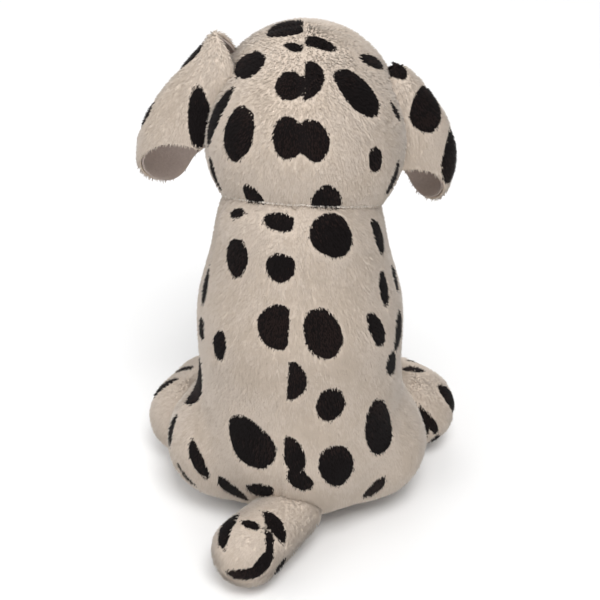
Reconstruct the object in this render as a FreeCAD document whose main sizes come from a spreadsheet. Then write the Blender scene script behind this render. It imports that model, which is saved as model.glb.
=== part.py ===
"""Seated plush dog: sewn panels over stuffing, with safety eyes, nose and floppy ears.

Frame: millimetres, +Z up. The origin is on the ground under the middle of the seat.
The dog faces -Y, so its left side is +X. Every soft shape is a tapered form: a root ball,
a tip ball and the cone that wraps both. The fabric is the layer between such a form and
the same form drawn in by the fabric's thickness, and panels are that layer cut at seams.
"""

import FreeCAD
import Part
import math
import os

import Sketcher

Vector = FreeCAD.Vector

SIZES = {
    # cloth and clearances
    "fabric": 3.0,
    "ear_cloth": 2.0,
    "fill_gap": 0.2,
    "body_gap": 0.5,
    "reach": 700.0,
    # head: ball at the back, crown ball above and ahead of it, muzzle in front
    "head_x": -2.5,
    "head_y": -27.0,
    "head_z": 191.0,
    "head_radius": 47.5,
    "crown_x": -2.5,
    "crown_y": -36.0,
    "crown_z": 199.0,
    "crown_radius": 44.5,
    "muzzle_x": -2.5,
    "muzzle_y": -66.0,
    "muzzle_z": 183.0,
    "muzzle_radius": 24.0,
    "muzzle_tip_x": -2.5,
    "muzzle_tip_y": -86.0,
    "muzzle_tip_z": 180.0,
    "muzzle_tip_radius": 19.0,
    "face_seam_y": -40.0,
    "muzzle_seam_y": -75.0,
    "gusset_width": 26.0,
    "chin_seam_z": 172.0,
    # eyes and nose, each a moulded plastic piece on a post
    "eye_x": 18.0,
    "eye_rise": 8.0,
    "eye_radius": 6.0,
    "eye_height": 4.2,
    "eye_sink": 1.05,
    "post_radius": 2.0,
    "post_length": 12.0,
    "washer_radius": 8.0,
    "washer_thick": 1.5,
    "nose_width": 9.5,
    "nose_height": 6.5,
    "nose_depth": 5.5,
    "nose_pitch": 28.0,
    "nose_sink": 2.0,
    # ears: a rolled flap of two layers, open towards the head
    "ear_top_radius": 12.0,
    "ear_low_radius": 19.0,
    "ear_wrap": 200.0,
    "ear_cap": 3.5,
    "ear_gather": 8.4,
    "ear_round": 22.0,
    "left_ear_x": 36.0,
    "left_ear_y": -38.0,
    "left_ear_z": 232.0,
    "left_ear_tip_x": 60.0,
    "left_ear_tip_y": -37.0,
    "left_ear_tip_z": 161.0,
    "right_ear_x": 38.0,
    "right_ear_y": -38.0,
    "right_ear_z": 222.0,
    "right_ear_tip_x": 57.0,
    "right_ear_tip_y": -37.0,
    "right_ear_tip_z": 150.0,
    # torso: seat ball, shoulder ball and a haunch ball on each side
    "seat_y": -2.0,
    "seat_z": 48.0,
    "seat_radius": 53.0,
    "shoulder_y": -8.0,
    "shoulder_z": 152.0,
    "shoulder_radius": 40.5,
    "chest_y": -6.0,
    "chest_z": 112.0,
    "chest_radius": 48.0,
    "left_haunch_x": 37.0,
    "left_haunch_y": 0.0,
    "left_haunch_z": 33.0,
    "right_haunch_x": 33.5,
    "right_haunch_y": 1.0,
    "right_haunch_z": 33.0,
    "haunch_radius": 31.5,
    "side_seam_y": -4.0,
    "base_radius": 20.0,
    "pouch_y": -6.0,
    "pouch_z": 20.0,
    "pouch_half_width": 32.0,
    "pouch_half_depth": 23.0,
    "pouch_half_height": 13.0,
    "pouch_cloth": 1.0,
    "thread_radius": 0.9,
    "thread_offset": 2.3,
    # front legs
    "front_x": 34.0,
    "front_y": -29.0,
    "front_z": 97.0,
    "front_radius": 17.5,
    "front_swing": 35.0,
    "paw_x": 18.0,
    "paw_y": -80.0,
    "paw_z": 14.5,
    "paw_radius": 14.5,
    # hind legs
    "left_knee_x": 59.0,
    "left_knee_y": -31.0,
    "left_toe_x": 52.0,
    "left_toe_y": -64.0,
    "right_knee_x": 61.5,
    "right_knee_y": -37.0,
    "right_toe_x": 54.0,
    "right_toe_y": -62.0,
    "knee_z": 23.0,
    "knee_radius": 22.0,
    "toe_z": 17.0,
    "toe_radius": 17.0,
    "sole_depth": 7.0,
    # tail, curled towards the dog's left
    "tail_x": 4.0,
    "tail_y": 42.0,
    "tail_z": 21.0,
    "tail_radius": 15.5,
    "tail_tip_x": 25.0,
    "tail_tip_y": 66.0,
    "tail_tip_z": 18.5,
    "tail_tip_radius": 18.5,
    "tail_wag_left": 12.0,
    "tail_wag_right": 40.0,
    # embroidered lines
    "stitch_radius": 0.6,
    "stitch_lift": 0.05,
    "toe_stitch_offset": 4.5,
    "toe_stitch_low": 38.0,
    "toe_stitch_arc": 62.0,
    "mouth_top": 10.0,
    "mouth_fall": 48.0,
    "mouth_drop": 60.0,
    "mouth_corner": 4.0,
    "mouth_sweep": 48.0,
}

doc = FreeCAD.newDocument("plush_dog")
sheet = doc.addObject("Spreadsheet::Sheet", "sizes")
for row, (alias, number) in enumerate(SIZES.items(), start=1):
    sheet.set(f"A{row}", alias)
    sheet.set(f"B{row}", str(number))
    sheet.setAlias(f"B{row}", alias)
doc.recompute()

pieces = []


def size(alias):
    """The number in the sheet's cell of that alias."""
    return float(sheet.get(alias))


def place(prefix, side=1):
    """The point held by the cells prefix_x, _y and _z, on the centre plane where there is no x."""
    x = size(prefix + "_x") * side if prefix + "_x" in SIZES else 0.0
    return Vector(x, size(prefix + "_y"), size(prefix + "_z"))


def bind(thing, **properties):
    """Ties each named property to an expression over the sheet's cells."""
    for name, expression in properties.items():
        thing.setExpression(name, expression)


def cells(expression):
    """The expression with each alias in it turned into a reference to the sheet."""
    words = expression.replace("(", " ( ").replace(")", " ) ").split()
    return " ".join("sizes." + word if word in SIZES else word for word in words)


def keep(thing, label):
    """Names a finished sub-part, which is later written to its own file."""
    thing.Label = label
    pieces.append(thing)
    return thing


def axis_plane(body, role):
    """One of a body's own origin planes, found by its role."""
    return next(f for f in body.Origin.OriginFeatures if f.Role == role)


def profile_sketch(body):
    """An empty sketch on the body's XZ plane, so that its V axis is the body's Z axis."""
    sketch = body.newObject("Sketcher::SketchObject", body.Name + "_profile")
    sketch.AttachmentSupport = [(axis_plane(body, "XZ_Plane"), "")]
    sketch.MapMode = "FlatFace"
    return sketch


def revolve(body, sketch, angle="360"):
    """Turns the sketch about its V axis, evenly to both sides of its plane."""
    turned = body.newObject("PartDesign::Revolution", body.Name + "_turned")
    turned.Profile = sketch
    turned.ReferenceAxis = (sketch, ["V_Axis"])
    turned.Midplane = True
    turned.setExpression("Angle", cells(angle))
    return turned


def pointing(start, end):
    """A placement at start whose Z axis points at end and whose X axis stays level."""
    along = (end - start).normalize()
    across = Vector(0, 0, 1).cross(along)
    if across.Length < 1e-6:
        across = Vector(1, 0, 0)
    across.normalize()
    turn = FreeCAD.Rotation(across, along.cross(across), along, "ZXY")
    return FreeCAD.Placement(start, turn)


def tapered(name, start, end, root_radius, tip_radius, grow="0"):
    """A tapered form: balls round start and end, and the cone that touches both."""
    body = doc.addObject("PartDesign::Body", name)
    sketch = profile_sketch(body)
    length = (end - start).Length
    offset = sum_of(grow)
    low, high = sum_of(root_radius) + offset, sum_of(tip_radius) + offset
    lean = math.asin((low - high) / length)
    up = Vector(0, 0, 1)
    foot, top = Vector(0, 0, 0), Vector(0, length, 0)
    root_arc = Part.ArcOfCircle(Part.Circle(foot, up, low), -math.pi / 2, lean)
    tip_arc = Part.ArcOfCircle(Part.Circle(top, up, high), lean, math.pi / 2)
    side = Part.LineSegment(root_arc.EndPoint, tip_arc.StartPoint)
    spine = Part.LineSegment(tip_arc.EndPoint, root_arc.StartPoint)
    sketch.addGeometry([root_arc, side, tip_arc, spine])
    constraint = Sketcher.Constraint
    sketch.addConstraint(
        [
            constraint("Tangent", 0, 2, 1, 1),
            constraint("Tangent", 1, 2, 2, 1),
            constraint("Coincident", 2, 2, 3, 1),
            constraint("Coincident", 3, 2, 0, 1),
            constraint("Coincident", 0, 3, -1, 1),
            constraint("PointOnObject", 2, 3, -2),
            constraint("PointOnObject", 0, 1, -2),
            constraint("PointOnObject", 2, 2, -2),
        ]
    )
    for index, target in ((0, root_radius), (2, tip_radius)):
        number = sketch.addConstraint(constraint("Radius", index, low if index == 0 else high))
        sketch.setExpression(f"Constraints[{number}]", cells(f"( {target} ) + ( {grow} )"))
    sketch.addConstraint(constraint("DistanceY", 0, 3, 2, 3, length))
    revolve(body, sketch)
    body.Placement = pointing(start, end)
    return body


def sum_of(expression):
    """The value of an expression made of cell names, numbers, signs and brackets."""
    words = expression.replace("(", " ( ").replace(")", " ) ").split()
    total, sign = 0.0, 1.0
    for word in words:
        if word in "()+":
            continue
        if word == "-":
            sign = -1.0
            continue
        total += sign * (size(word) if word in SIZES else float(word))
        sign = 1.0
    return total


def ball(name, centre, radius):
    """A sphere whose radius is bound to an expression over the sheet."""
    sphere = doc.addObject("Part::Sphere", name)
    bind(sphere, Radius=cells(radius))
    sphere.Placement.Base = centre
    return sphere


def half_space(name, point, normal):
    """A large block that fills the side of a plane to which normal points."""
    block = doc.addObject("Part::Box", name)
    bind(block, Length=cells("reach"), Width=cells("reach"), Height=cells("reach"))
    turn = FreeCAD.Rotation(Vector(0, 0, 1), normal)
    middle = turn.multVec(Vector(size("reach") / 2, size("reach") / 2, 0))
    block.Placement = FreeCAD.Placement(point - middle, turn)
    return block


def cut(name, base, *tools):
    """base with each tool taken away."""
    for number, tool in enumerate(tools):
        result = doc.addObject("Part::Cut", f"{name}_{number}")
        result.Base = base
        result.Tool = tool
        base = result
    return base


def fuse(name, *shapes):
    """The shapes joined into one."""
    result = doc.addObject("Part::MultiFuse", name)
    result.Shapes = list(shapes)
    return result


def common(name, *shapes):
    """What the shapes share."""
    result = doc.addObject("Part::MultiCommon", name)
    result.Shapes = list(shapes)
    return result


def compound(name, *shapes):
    """Separate solids kept together as one sub-part."""
    result = doc.addObject("Part::Compound", name)
    result.Links = list(shapes)
    return result


# How many poses of a moving limb its room in the torso is swept from.
SWEEP_STEPS = 5

INSET = {
    "outer": "0",
    "inner": "0 - fabric",
    "fill": "0 - fabric - fill_gap",
}

# Planes that part the left side from the right and the front from the back.
left_side = half_space("left_side", Vector(), Vector(1, 0, 0))
left_of_head = half_space("left_of_head", Vector(size("head_x"), 0, 0), Vector(1, 0, 0))
front_of_torso = half_space("front_of_torso", Vector(0, size("side_seam_y"), 0), Vector(0, -1, 0))

# The head's pose: its joint centre is the back ball's centre, and the neck axis runs from
# the shoulder ball through it. The neck seam is the circle where the two balls meet.
head_centre = place("head")
neck_axis = (head_centre - place("shoulder")).normalize()
neck_span = (head_centre - place("shoulder")).Length
head_square = size("head_radius") ** 2
neck_drop = (head_square - size("shoulder_radius") ** 2 + neck_span**2) / (2 * neck_span)
neck_radius = math.sqrt(head_square - neck_drop**2)
neck_centre = head_centre - neck_axis * neck_drop


def neck_ring(name, radius):
    """A ring of thread round the neck seam."""
    ring = doc.addObject("Part::Torus", name)
    ring.Radius1 = neck_radius + size("thread_offset")
    bind(ring, Radius2=cells(radius))
    ring.Placement = FreeCAD.Placement(neck_centre, FreeCAD.Rotation(Vector(0, 0, 1), neck_axis))
    return ring


# Eyes and nose -------------------------------------------------------------------------


def surface_point(centre, radius, direction):
    """The point of a ball's surface in that direction."""
    return centre + direction * radius


def button_eye(name, seat, direction):
    """A domed safety eye: a shallow dome on a post that passes through the fabric."""
    body = doc.addObject("PartDesign::Body", name)
    sketch = profile_sketch(body)
    radius, height = size("eye_radius"), size("eye_height")
    post, length = size("post_radius"), size("post_length")
    dome_radius = (radius**2 + height**2) / (2 * height)
    dome_centre = Vector(0, height - dome_radius, 0)
    start = math.atan2(dome_radius - height, radius)
    dome = Part.ArcOfCircle(
        Part.Circle(dome_centre, Vector(0, 0, 1), dome_radius), start, math.pi / 2
    )
    outline = [
        dome.EndPoint,
        Vector(0, -length, 0),
        Vector(post, -length, 0),
        Vector(post, 0, 0),
        dome.StartPoint,
    ]
    lines = [Part.LineSegment(a, b) for a, b in zip(outline, outline[1:])]
    sketch.addGeometry([dome, *lines])
    joins = [(0, 2, 1, 1), (1, 2, 2, 1), (2, 2, 3, 1), (3, 2, 4, 1), (4, 2, 0, 1)]
    sketch.addConstraint([Sketcher.Constraint("Coincident", *join) for join in joins])
    revolve(body, sketch)
    body.Placement = FreeCAD.Placement(seat, FreeCAD.Rotation(Vector(0, 0, 1), direction))
    return body


def lock_washer(name, seat, direction):
    """The toothed washer that holds an eye or nose post behind the fabric, as a plain ring."""
    disc = doc.addObject("Part::Cylinder", name + "_disc")
    bind(disc, Radius=cells("washer_radius"), Height=cells("washer_thick"))
    hole = doc.addObject("Part::Cylinder", name + "_hole")
    bind(hole, Radius=cells("post_radius"), Height=cells("washer_thick"))
    depth = size("fabric") + size("washer_thick") + size("body_gap") + size("eye_height") / 2
    spot = FreeCAD.Placement(
        seat - direction * depth, FreeCAD.Rotation(Vector(0, 0, 1), direction)
    )
    disc.Placement = spot
    hole.Placement = spot
    return cut(name, disc, hole)


def eye_direction(side):
    """Where an eye looks: outwards from the crown ball's centre."""
    across, rise = size("eye_x") * side, size("eye_rise")
    ahead = math.sqrt(size("crown_radius") ** 2 - across**2 - rise**2)
    return Vector(across, -ahead, rise).normalize()


eyes, washers = [], []
for side, word in ((1, "left"), (-1, "right")):
    look = eye_direction(side)
    seat = surface_point(place("crown"), size("crown_radius") - size("eye_sink"), look)
    eyes.append(keep(button_eye("eye_" + word, seat, look), "eye_" + word))
    washers.append(keep(lock_washer("eye_washer_" + word, seat, look), "eye_washer_" + word))

pitch = math.radians(size("nose_pitch"))
nose_look = Vector(0, -math.cos(pitch), math.sin(pitch))
nose_seat = surface_point(place("muzzle_tip"), size("muzzle_tip_radius"), nose_look)
nose_dome = doc.addObject("Part::Ellipsoid", "nose_dome")
bind(
    nose_dome,
    Radius1=cells("nose_depth"),
    Radius2=cells("nose_width"),
    Radius3=cells("nose_height"),
)
nose_dome.Placement = FreeCAD.Placement(
    nose_seat, FreeCAD.Rotation(Vector(1, 0, 0), Vector(), nose_look, "ZXY")
)
nose_post = doc.addObject("Part::Cylinder", "nose_post")
bind(nose_post, Radius=cells("post_radius"), Height=cells("post_length"))
nose_post.Placement = FreeCAD.Placement(
    nose_seat - nose_look * size("post_length"), FreeCAD.Rotation(Vector(0, 0, 1), nose_look)
)
nose = keep(fuse("nose", nose_dome, nose_post), "nose")
nose_base = nose_seat - nose_look * size("nose_sink")
nose_washer = keep(lock_washer("nose_washer", nose_base, nose_look), "nose_washer")
face_hardware = [*eyes, nose]

# Head ----------------------------------------------------------------------------------


def head_form(layer):
    """The head and muzzle as one soft form, drawn in for the layer asked for."""
    grow = INSET[layer]
    skull = tapered(
        "skull_" + layer, head_centre, place("crown"), "head_radius", "crown_radius", grow
    )
    snout = tapered(
        "snout_" + layer,
        place("muzzle"),
        place("muzzle_tip"),
        "muzzle_radius",
        "muzzle_tip_radius",
        grow,
    )
    return fuse("head_form_" + layer, skull, snout)


head_skin = cut("head_skin", head_form("outer"), head_form("inner"), *face_hardware)
front_of_face = half_space("front_of_face", Vector(0, size("face_seam_y"), 0), Vector(0, -1, 0))
front_of_muzzle = half_space(
    "front_of_muzzle", Vector(0, size("muzzle_seam_y"), 0), Vector(0, -1, 0)
)
below_chin = half_space("below_chin", Vector(0, 0, size("chin_seam_z")), Vector(0, 0, -1))
gusset_block = doc.addObject("Part::Box", "gusset_block")
bind(gusset_block, Length=cells("gusset_width"), Width=cells("reach"), Height=cells("reach"))
gusset_block.Placement.Base = Vector(
    size("head_x") - size("gusset_width") / 2, -size("reach") / 2, size("muzzle_z")
)

head_back = cut("head_back", head_skin, front_of_face)
keep(common("head_back_left", head_back, left_of_head), "head_back_left")
keep(cut("head_back_right", head_back, left_of_head), "head_back_right")
muzzle_skin = common("muzzle_skin", head_skin, front_of_muzzle)
muzzle_upper = cut("muzzle_upper", muzzle_skin, below_chin)
keep(common("chin_panel", muzzle_skin, below_chin), "chin_panel")
keep(common("muzzle_left", muzzle_upper, left_of_head), "muzzle_left")
keep(cut("muzzle_right", muzzle_upper, left_of_head), "muzzle_right")
face_skin = cut("face_skin", common("face_front", head_skin, front_of_face), front_of_muzzle)
keep(common("forehead_gusset", face_skin, gusset_block), "forehead_gusset")
cheeks = cut("cheeks", face_skin, gusset_block)
keep(common("cheek_left", cheeks, left_of_head), "cheek_left")
keep(cut("cheek_right", cheeks, left_of_head), "cheek_right")
keep(
    cut("head_stuffing", head_form("fill"), *face_hardware, *washers, nose_washer),
    "head_stuffing",
)


def arc_thread(name, radius, sweep, placement):
    """A length of embroidery thread bent to an arc of that radius."""
    thread = doc.addObject("Part::Torus", name)
    thread.Radius1 = radius
    bind(thread, Radius2=cells("stitch_radius"))
    thread.Angle3 = sweep
    thread.Placement = placement
    return thread


def mouth():
    """The mouth line: a drop from the nose and a curve to each side, round the muzzle's tip."""
    middle = place("muzzle_tip")
    radius = size("muzzle_tip_radius") + size("stitch_radius") + size("stitch_lift")
    drop = size("mouth_drop")
    # An arc in the centre plane, ending drop degrees below the level line.
    spin = FreeCAD.Rotation(Vector(0, -1, 0), Vector(0, 0, -1), Vector(), "XYZ")
    top = FreeCAD.Rotation(Vector(0, 0, 1), size("mouth_top"))
    spot = FreeCAD.Placement(middle, spin * top)
    parts = [arc_thread("mouth_drop_line", radius, size("mouth_fall"), spot)]
    low = Vector(0, -math.cos(math.radians(drop)), -math.sin(math.radians(drop)))
    for side in (1, -1):
        sideways = Vector(side, 0, 0)
        turn = FreeCAD.Rotation(low, sideways, Vector(), "XYZ")
        start = FreeCAD.Rotation(Vector(0, 0, 1), size("mouth_corner"))
        parts.append(
            arc_thread(
                f"mouth_curve_{'left' if side > 0 else 'right'}",
                radius,
                size("mouth_sweep"),
                FreeCAD.Placement(middle, turn * start),
            )
        )
    return compound("mouth_stitch", *parts)


keep(mouth(), "mouth_stitch")

# Ears ----------------------------------------------------------------------------------


def ear_frame(word, side):
    """The ear's own frame: Z from root to tip, X away from the head."""
    root, tip = place(word + "_ear", side), place(word + "_ear_tip", side)
    along = (tip - root).normalize()
    outward = Vector(side, 0, 0)
    outward = (outward - along * outward.dot(along)).normalize()
    turn = FreeCAD.Rotation(outward, along.cross(outward), along, "ZXY")
    return FreeCAD.Placement(root, turn), (tip - root).Length


def rolled_layer(name, length, inside, outside):
    """One layer of the rolled ear, between two offsets from its middle surface."""
    body = doc.addObject("PartDesign::Body", name)
    sketch = profile_sketch(body)
    top, low, cap = size("ear_top_radius"), size("ear_low_radius"), size("ear_cap")
    corners = [
        Vector(top + inside, cap, 0),
        Vector(top + outside, cap, 0),
        Vector(low + outside, length, 0),
        Vector(low + inside, length, 0),
    ]
    sketch.addGeometry(
        [Part.LineSegment(a, b) for a, b in zip(corners, [*corners[1:], corners[0]])]
    )
    joins = [(0, 2, 1, 1), (1, 2, 2, 1), (2, 2, 3, 1), (3, 2, 0, 1)]
    sketch.addConstraint([Sketcher.Constraint("Coincident", *join) for join in joins])
    revolve(body, sketch, "ear_wrap")
    return body


def ear_root(name):
    """The gathered root of an ear, where both layers are sewn together."""
    body = doc.addObject("PartDesign::Body", name)
    sketch = profile_sketch(body)
    reach, cap = size("ear_top_radius") + size("ear_cloth"), size("ear_cap")
    corners = [
        Vector(0, 0, 0),
        Vector(size("ear_gather"), 0, 0),
        Vector(reach, cap, 0),
        Vector(0, cap, 0),
    ]
    sketch.addGeometry(
        [Part.LineSegment(a, b) for a, b in zip(corners, [*corners[1:], corners[0]])]
    )
    joins = [(0, 2, 1, 1), (1, 2, 2, 1), (2, 2, 3, 1), (3, 2, 0, 1)]
    sketch.addConstraint([Sketcher.Constraint("Coincident", *join) for join in joins])
    revolve(body, sketch, "ear_wrap")
    return body


def make_ear(word, side):
    """An ear: a spotted outer layer, a smooth lining and the gathered root."""
    frame, length = ear_frame(word, side)
    rounding = doc.addObject("Part::Cylinder", f"ear_{word}_rounding")
    bind(rounding, Radius=cells("ear_round"), Height=cells("reach"))
    # The tip is rounded by a cylinder that runs outwards, across the roll.
    upright = FreeCAD.Rotation(Vector(0, 0, 1), Vector(1, 0, 0))
    start = Vector(-size("reach") / 2, 0, length - size("ear_round"))
    rounding.Placement = frame * FreeCAD.Placement(start, upright)
    upper = doc.addObject("Part::Box", f"ear_{word}_upper")
    bind(upper, Length=cells("reach"), Width=cells("reach"))
    upper.Height = length - size("ear_round")
    upper.Placement = frame * FreeCAD.Placement(
        Vector(-size("reach") / 2, -size("reach") / 2, 0), FreeCAD.Rotation()
    )
    outline = fuse(f"ear_{word}_outline", rounding, upper)
    room = tapered(
        f"ear_{word}_head_room",
        head_centre,
        place("crown"),
        "head_radius",
        "crown_radius",
        "body_gap",
    )
    root = ear_root(f"ear_{word}_root")
    root.Placement = frame
    layers = {"outer": (0.0, size("ear_cloth")), "lining": (-size("ear_cloth"), 0.0)}
    for layer, (inside, outside) in layers.items():
        sheet_body = rolled_layer(f"ear_{word}_{layer}_roll", length, inside, outside)
        sheet_body.Placement = frame
        name = f"ear_{word}_{layer}"
        trimmed = common(name + "_trimmed", sheet_body, outline)
        if layer == "outer":
            trimmed = fuse(name + "_joined", trimmed, root)
        keep(cut(name, trimmed, room), name)


make_ear("left", 1)
make_ear("right", -1)

# Limbs ---------------------------------------------------------------------------------


def limb(name, start, end, root_radius, tip_radius):
    """A limb's skin and its stuffing, both around the line from start to end."""
    outer, inner, fill = (
        tapered(f"{name}_form_{layer}", start, end, root_radius, tip_radius, INSET[layer])
        for layer in ("outer", "inner", "fill")
    )
    return cut(name + "_skin", outer, inner), fill


def clearance(name, start, end, root_radius, tip_radius, layer="outer"):
    """The space a limb needs in the torso, with the torso's own layer left round it."""
    extra = {
        "outer": "body_gap",
        "inner": "body_gap + fabric",
        "fill": "body_gap + fabric + fill_gap",
    }[layer]
    return tapered(f"{name}_room_{layer}", start, end, root_radius, tip_radius, extra)


def toe_stitches(name, centre, radius):
    """Two embroidered toe lines over the front of a paw."""
    lines = []
    for sign in (1, -1):
        offset = size("toe_stitch_offset") * sign
        ring = math.sqrt(
            (radius + size("stitch_radius") + size("stitch_lift")) ** 2 - offset**2
        )
        turn = FreeCAD.Rotation(Vector(0, -1, 0), Vector(0, 0, 1), Vector(), "XYZ")
        start = FreeCAD.Rotation(Vector(0, 0, 1), -size("toe_stitch_low"))
        spot = FreeCAD.Placement(centre + Vector(offset, 0, 0), turn * start)
        lines.append(
            arc_thread(f"{name}_{'a' if sign > 0 else 'b'}", ring, size("toe_stitch_arc"), spot)
        )
    return compound(name, *lines)


front_ends = {}
hind_ends = {}
for side, word in ((1, "left"), (-1, "right")):
    shoulder, paw = place("front", side), place("paw", side)
    front_ends[word] = (shoulder, paw)
    skin, fill = limb(f"front_leg_{word}", shoulder, paw, "front_radius", "paw_radius")
    across = paw - shoulder
    level = Vector(across.y, -across.x, 0).normalize() * -side
    outside = half_space(f"front_outside_{word}", paw, level)
    keep(common(f"front_leg_{word}_outer", skin, outside), f"front_leg_{word}_outer")
    keep(cut(f"front_leg_{word}_inner", skin, outside), f"front_leg_{word}_inner")
    keep(fill, f"front_leg_{word}_stuffing")
    stitches = toe_stitches(f"front_toe_stitches_{word}", paw, size("paw_radius"))
    keep(stitches, f"front_toe_stitches_{word}")

    knee = Vector(size(f"{word}_knee_x") * side, size(f"{word}_knee_y"), size("knee_z"))
    toe = Vector(size(f"{word}_toe_x") * side, size(f"{word}_toe_y"), size("toe_z"))
    hind_ends[word] = (knee, toe)
    skin, fill = limb(f"hind_leg_{word}", knee, toe, "knee_radius", "toe_radius")
    ahead = (toe - knee).normalize()
    sole_plane = toe + ahead * (size("toe_radius") - size("sole_depth"))
    beyond = half_space(f"sole_space_{word}", sole_plane, ahead)
    keep(common(f"hind_sole_{word}", skin, beyond), f"hind_sole_{word}")
    shank = cut(f"hind_shank_{word}", skin, beyond)
    over = half_space(f"hind_over_{word}", toe, Vector(0, 0, 1))
    keep(common(f"hind_leg_{word}_upper", shank, over), f"hind_leg_{word}_upper")
    keep(cut(f"hind_leg_{word}_lower", shank, over), f"hind_leg_{word}_lower")
    keep(fill, f"hind_leg_{word}_stuffing")

tail_root, tail_tip = place("tail"), place("tail_tip")
tail_skin, tail_fill = limb("tail", tail_root, tail_tip, "tail_radius", "tail_tip_radius")
tail_over = half_space("tail_over", tail_tip, Vector(0, 0, 1))
keep(common("tail_upper", tail_skin, tail_over), "tail_upper")
keep(cut("tail_lower", tail_skin, tail_over), "tail_lower")
keep(tail_fill, "tail_stuffing")

# Torso ---------------------------------------------------------------------------------


def turned_end(root, tip, axis, degrees):
    """Where a limb's tip is once the limb has turned by that angle about its root."""
    turn = FreeCAD.Rotation(axis, degrees)
    return root + turn.multVec(tip - root)


def swing_rooms(layer):
    """The space that the front legs sweep as they swing forward, after the space they rest in."""
    rooms = []
    for word, (shoulder, paw) in front_ends.items():
        for step in range(1, SWEEP_STEPS + 1):
            angle = size("front_swing") * step / SWEEP_STEPS
            end = turned_end(shoulder, paw, Vector(-1, 0, 0), angle)
            name = f"swing_{word}_{step}"
            rooms.append(clearance(name, shoulder, end, "front_radius", "paw_radius", layer))
    return rooms


def torso_form(layer):
    """The torso with its haunches, less the room that the head, limbs and tail need."""
    grow = INSET[layer]
    trunk = tapered(
        "trunk_" + layer, place("seat"), place("shoulder"), "seat_radius", "shoulder_radius", grow
    )
    haunches = [
        ball(f"haunch_{word}_{layer}", place(word + "_haunch", side), f"haunch_radius + {grow}")
        for side, word in ((1, "left"), (-1, "right"))
    ]
    chest = ball("chest_" + layer, place("chest"), f"chest_radius + {grow}")
    whole = fuse("torso_whole_" + layer, trunk, chest, *haunches)
    extra = "body_gap" + {
        "outer": "",
        "inner": " + fabric",
        "fill": " + fabric + fill_gap",
    }[layer]
    rooms = [ball("head_room_" + layer, head_centre, f"head_radius + {extra}")]
    for word in ("left", "right"):
        rooms.append(
            clearance("front_" + word, *front_ends[word], "front_radius", "paw_radius", layer)
        )
        knee_name = f"knee_room_{word}_{layer}"
        rooms.append(ball(knee_name, hind_ends[word][0], f"knee_radius + {extra}"))
    wag = size("tail_wag_left") + size("tail_wag_right")
    for step in range(SWEEP_STEPS):
        angle = wag * step / (SWEEP_STEPS - 1) - size("tail_wag_left")
        rooms.append(
            clearance(
                f"tail_{step}",
                tail_root,
                turned_end(tail_root, tail_tip, Vector(0, 0, 1), angle),
                "tail_radius",
                "tail_tip_radius",
                layer,
            )
        )
    rooms += swing_rooms(layer)
    ground = half_space("ground_" + layer, Vector(0, 0, -sum_of(grow)), Vector(0, 0, -1))
    return cut("torso_" + layer, whole, ground, *rooms)


groove = neck_ring("neck_groove", "thread_radius + body_gap")
torso_skin = cut("torso_skin", torso_form("outer"), torso_form("inner"), groove)
base_patch = doc.addObject("Part::Cylinder", "base_patch")
bind(base_patch, Radius=cells("base_radius"), Height=cells("fabric"))
base_patch.Placement.Base = Vector(0, size("seat_y"), 0)
keep(common("seat_panel", torso_skin, base_patch), "seat_panel")
sides = cut("torso_sides", torso_skin, base_patch)
torso_back = cut("torso_back", sides, front_of_torso)
keep(common("belly_panel", sides, front_of_torso), "belly_panel")
keep(common("back_panel_left", torso_back, left_side), "back_panel_left")
keep(cut("back_panel_right", torso_back, left_side), "back_panel_right")


def pouch(name, grow):
    """The flattened bag of pellets that weights the seat."""
    bag = doc.addObject("Part::Ellipsoid", name)
    bind(
        bag,
        Radius1=cells(f"pouch_half_height + {grow}"),
        Radius2=cells(f"pouch_half_width + {grow}"),
        Radius3=cells(f"pouch_half_depth + {grow}"),
    )
    bag.Placement.Base = place("pouch")
    return bag


pouch_outer = pouch("pouch_outer", "0")
keep(cut("pellet_pouch", pouch_outer, pouch("pouch_inner", "0 - pouch_cloth")), "pellet_pouch")
keep(pouch("pellets", "0 - pouch_cloth - fill_gap"), "pellets")
pouch_room = pouch("pouch_room", "fill_gap")
fill_groove = neck_ring("fill_groove", "thread_radius + body_gap")
keep(
    cut("torso_stuffing", torso_form("fill"), pouch_room, fill_groove),
    "torso_stuffing",
)
keep(neck_ring("neck_seam_thread", "thread_radius"), "neck_seam_thread")

# Checks and files ----------------------------------------------------------------------

doc.recompute()
failed = [o.Label for o in doc.Objects if "Invalid" in o.State or "Error" in o.State]
if failed:
    raise SystemExit(f"these objects failed to build: {failed}")

os.makedirs("parts", exist_ok=True)
for piece in pieces:
    shape = piece.Shape
    if shape.isNull() or not shape.isValid() or not shape.Solids:
        raise SystemExit(f"{piece.Label} is not a valid solid")
    print(f"{piece.Label:28s} {len(shape.Solids)} solid(s) {shape.Volume / 1000:9.2f} cm3")
    shape.exportStep(os.path.join("parts", piece.Label + ".step"))
print(len(pieces), "sub-parts")
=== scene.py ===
"""Finish of a seated plush dog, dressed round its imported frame.

The dog faces -Y and sits on the ground plane, so its left side is +X. Sizes inside the classes
are millimetres, and meshes are written in metres. Each soft part starts as a form of rounded
lobes, is stuffed by a cloth simulation that its seams hold in, and then gets its pile.
"""

import logging
import math
from collections.abc import Callable, Sequence
from dataclasses import dataclass, field
from enum import Enum

import bmesh
import bpy
import numpy as np
from mathutils import Matrix, Vector
from mathutils.bvhtree import BVHTree
from mathutils.kdtree import KDTree


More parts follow.
